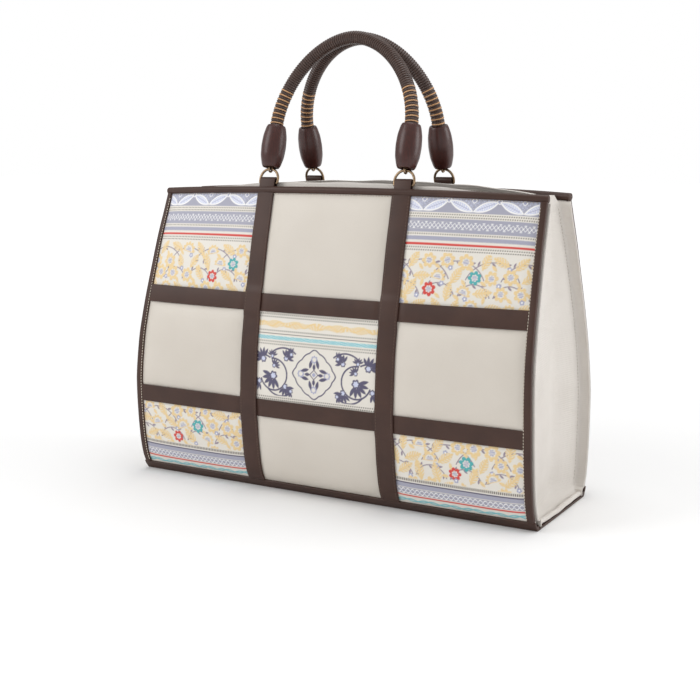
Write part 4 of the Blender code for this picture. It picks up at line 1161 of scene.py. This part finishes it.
for label, side in SIDES.items():
    body = f"{label}_handle_set"
    for place, way in ENDS.items():
        middle = way * 66.0
        up_to = np.array([-5.0, -4.0, -3.0, -2.0, -1.0])
        leg_out = on_rim(side, np.full(5, middle), up_to, np.full(5, 1.8))
        leg_in = on_rim(side, np.full(7, middle), np.linspace(-1.0, -16.0, 7), np.full(7, -1.5))
        centre = on_rim(side, np.array([middle]), np.array([TAB_RISE]), np.array([LOOP_OFFSET]))[0]
        normal = wall_frame(side, np.array(middle), rim_height(np.array(middle)))[1] * np.array([0, 1, 1])
        normal /= np.linalg.norm(normal)
        up = np.array([0.0, -normal[2] * side, abs(normal[1])])
        turn = np.linspace(0, np.pi, 15)[:, None]
        loop = centre + LOOP_R * (np.cos(turn) * normal + np.sin(turn) * up) + LOOP_SPARE * up
        path = np.concatenate([leg_out, loop, leg_in])
        along = np.gradient(path, axis=0)
        along /= np.linalg.norm(along, axis=1, keepdims=True)
        outward = np.cross(along, np.array([float(side), 0.0, 0.0]))
        outline = rounded_bar(-7.5, 7.5, 0.0, 1.25, 0.45, 4)
        rings = path[:, None, :] + outline[None, :, :1] * np.array([1.0, 0, 0])
        rings = rings + outline[None, :, 1:] * outward[:, None, :]
        make_piece(
            f"{label}_{place}_leather_tab", lofted(rings), bridle, "bag", [f"{label}_tab_{place}"]
        )
        corner = np.linspace(-np.pi / 2, 0, 7)
        arch = np.linspace(0, np.pi, 33)
        bend = [(7.5 + 1.5 * np.cos(corner), 1.5 + 1.5 * np.sin(corner)), (9.0 * np.cos(arch), 3.8 + 9.0 * np.sin(arch))]
        bend.append((-7.5 - 1.5 * np.cos(corner[::-1]), 1.5 + 1.5 * np.sin(corner[::-1])))
        ring_path = np.concatenate([np.stack(part, -1) for part in bend]) + np.array([middle, 0.0])
        ring = wire(side, ring_path, 1.1, 12, closed=True)
        make_piece(f"{label}_{place}_brass_ring", ring, brass, body, [f"{label}_ring_{place}"])
        around, roll = np.meshgrid(np.linspace(0, 2 * np.pi, 24, False), np.linspace(0, 2 * np.pi, 10, False), indexing="ij")
        reach = 2.5 + 0.9 * np.cos(roll)
        loop_rings = handle_point(side, middle + 0.9 * np.sin(roll), 12.8 + reach * np.sin(around), reach * np.cos(around))
        stem = wire(side, np.array([(middle, u) for u in np.linspace(15.3, 22.3, 4)]), 1.0, 10)
        eye = joined([lofted(loop_rings, closed=True), stem])
        make_piece(f"{label}_{place}_brass_eye", eye, brass, body, [f"{label}_eye_{place}"])


# Beads: turned hardwood barrels, stained dark red-brown and lacquered to a high gloss. The grain runs along
# the bead, in streaks about 1 mm wide and 15 mm long.
rosewood, rosewood_shader = new_finish("lacquered_rosewood", 0.42)
rosewood_shader.inputs["Coat Weight"].default_value = 0.25
rosewood_shader.inputs["Specular IOR Level"].default_value = 0.4
rosewood_shader.inputs["Coat Roughness"].default_value = 0.22
rosewood_place = add_node(rosewood, "TexCoord")
rosewood_stretch = add_node(
    rosewood, "Mapping", {"Vector": rosewood_place.outputs["Object"], "Scale": (900.0, 900.0, 60.0)}
)
rosewood_grain = add_node(
    rosewood, "TexNoise", {"Vector": rosewood_stretch.outputs["Vector"], "Scale": 1.0, "Detail": 5.0}
)
rosewood_tint = add_node(
    rosewood,
    "Mix",
    {0: rosewood_grain.outputs["Fac"], 6: linear("#22100C"), 7: linear("#4E1F17")},
    data_type="RGBA",
)
rosewood.node_tree.links.new(rosewood_tint.outputs[2], rosewood_shader.inputs["Base Color"])
BEAD_FOOT, BEAD_HEAD = 14.2, 51.2
BEAD_OUTLINE = ((0.0, 0.05, 0.25, 0.5, 0.75, 0.95, 1.0), (0.66, 0.76, 0.94, 1.0, 0.95, 0.80, 0.72))

for label, side in SIDES.items():
    for place, way in ENDS.items():
        share = (1 - np.cos(np.linspace(0, np.pi, 30))) / 2
        radius = 10.8 * np.interp(share, *BEAD_OUTLINE)
        radius[1:-1] = (radius[:-2] + 2 * radius[1:-1] + radius[2:]) / 4
        u = np.concatenate([BEAD_FOOT + share * 37.0, [51.2, 46.2, 46.2, 19.2, 19.2, 14.2]])
        r = np.concatenate([radius, [6.2, 6.2, 3.9, 3.9, 4.6, 4.6]])
        turn = np.linspace(0, 2 * np.pi, 40, endpoint=False)[:, None]
        rings = handle_point(side, way * 66.0 + r * np.cos(turn), u + 0 * turn, r * np.sin(turn))
        make_piece(
            f"{label}_{place}_wooden_bead",
            lofted(rings, closed=True),
            rosewood,
            f"{label}_handle_set",
            [f"{label}_bead_{place}"],
        )


# Handles: a padded core wound tightly with dark waxed cord, 2.1 mm from turn to turn. Near each bead, eight
# turns of thin tan cord lie in every second groove of the winding. The core's thinner tails run down into the beads.
waxed_cord, waxed_cord_shader = new_finish("brown_waxed_cord", 0.4)
waxed_cord_place = add_node(waxed_cord, "TexCoord")
waxed_cord_cloud = add_node(
    waxed_cord, "TexNoise", {"Vector": waxed_cord_place.outputs["Object"], "Scale": 300.0, "Detail": 3.0}
)
waxed_cord_tint = add_node(
    waxed_cord,
    "Mix",
    {0: waxed_cord_cloud.outputs["Fac"], 6: linear("#2E1F1A"), 7: linear("#513B32")},
    data_type="RGBA",
)
waxed_cord.node_tree.links.new(waxed_cord_tint.outputs[2], waxed_cord_shader.inputs["Base Color"])
tan_cord, tan_cord_shader = new_finish("tan_waxed_cord", 0.45)
tan_cord_place = add_node(tan_cord, "TexCoord")
tan_cord_cloud = add_node(
    tan_cord, "TexNoise", {"Vector": tan_cord_place.outputs["Object"], "Scale": 400.0, "Detail": 3.0}
)
tan_cord_tint = add_node(
    tan_cord, "Mix", {0: tan_cord_cloud.outputs["Fac"], 6: linear("#A9794C"), 7: linear("#D2A678")}, data_type="RGBA"
)
tan_cord.node_tree.links.new(tan_cord_tint.outputs[2], tan_cord_shader.inputs["Base Color"])


def handle_arch(turn):
    """The arch from leg to leg: a rounded ellipse, cosine and sine both to the 2 / 1.85 power."""
    c, d = np.cos(turn), np.sin(turn)
    x = 66.0 * np.sign(c) * np.abs(c) ** (2 / 1.85)
    return np.stack([x, 51.5 + 77.5 * np.abs(d) ** (2 / 1.85)], -1)


def arch_frame(at, path, length):
    """Points of the arch at given lengths along it, with the unit direction along it."""
    point = np.stack([np.interp(at, length, path[:, k]) for k in (0, 1)], -1)
    ahead = np.stack([np.interp(at + 0.5, length, path[:, k]) for k in (0, 1)], -1)
    behind = np.stack([np.interp(at - 0.5, length, path[:, k]) for k in (0, 1)], -1)
    along = ahead - behind
    return point, along / np.linalg.norm(along, axis=1, keepdims=True)


leg = np.stack([np.full(8, 66.0), np.linspace(46.6, 51.0, 8)], -1)
arch_path = np.concatenate([leg, handle_arch(np.linspace(0, np.pi, 400)), leg[::-1] * np.array([-1, 1])])
arch_length = np.concatenate([[0], np.cumsum(np.linalg.norm(np.diff(arch_path, axis=0), axis=1))])
PITCH, WIND_R, CORD_R = 2.1, 4.8, 1.08

for label, side in SIDES.items():
    body = f"{label}_handle_set"
    turns = (arch_length[-1] - 2) / PITCH
    at = np.linspace(1.0, arch_length[-1] - 1.0, int(turns * 20))
    point, along = arch_frame(at, arch_path, arch_length)
    phase = (2 * np.pi * at / PITCH)[:, None]
    around_cord = np.linspace(0, 2 * np.pi, 8, endpoint=False)[None, :]
    reach = WIND_R + 0.9 * CORD_R * np.cos(around_cord)
    slide = CORD_R * np.sin(around_cord)
    x = point[:, :1] + reach * np.cos(phase) * along[:, 1:] + slide * along[:, :1]
    u = point[:, 1:] - reach * np.cos(phase) * along[:, :1] + slide * along[:, 1:]
    winding = lofted(handle_point(side, x, u, reach * np.sin(phase)))
    core_at = np.linspace(0.5, arch_length[-1] - 0.5, 90)
    core_point = arch_frame(core_at, arch_path, arch_length)[0]
    core = wire(side, core_point, 5.0, 16)
    tails = [wire(side, np.array([(way * 66.0, v) for v in np.linspace(22.8, 47.5, 3)]), 3.5, 12) for way in (-1, 1)]
    handle = joined([winding, core, *tails])
    make_piece(f"{label}_wound_handle", handle, waxed_cord, body, [f"{label}_handle"])
    rings = []
    for i in range(8):
        for start in (6.85 + 4.2 * i, arch_length[-1] - 6.85 - 4.2 * i):
            point, along = arch_frame(np.array([start]), arch_path, arch_length)
            around = np.linspace(0, 2 * np.pi, 28, endpoint=False)[:, None]
            small = np.linspace(0, 2 * np.pi, 8, endpoint=False)[None, :]
            reach, slide = 5.25 + 0.66 * np.cos(small), 0.66 * np.sin(small)
            x = point[0, 0] + reach * np.cos(around) * along[0, 1] + slide * along[0, 0]
            u = point[0, 1] - reach * np.cos(around) * along[0, 0] + slide * along[0, 1]
            rings.append(lofted(handle_point(side, x, u, reach * np.sin(around)), closed=True))
    make_piece(f"{label}_tan_cord_turns", joined(rings), tan_cord, body)
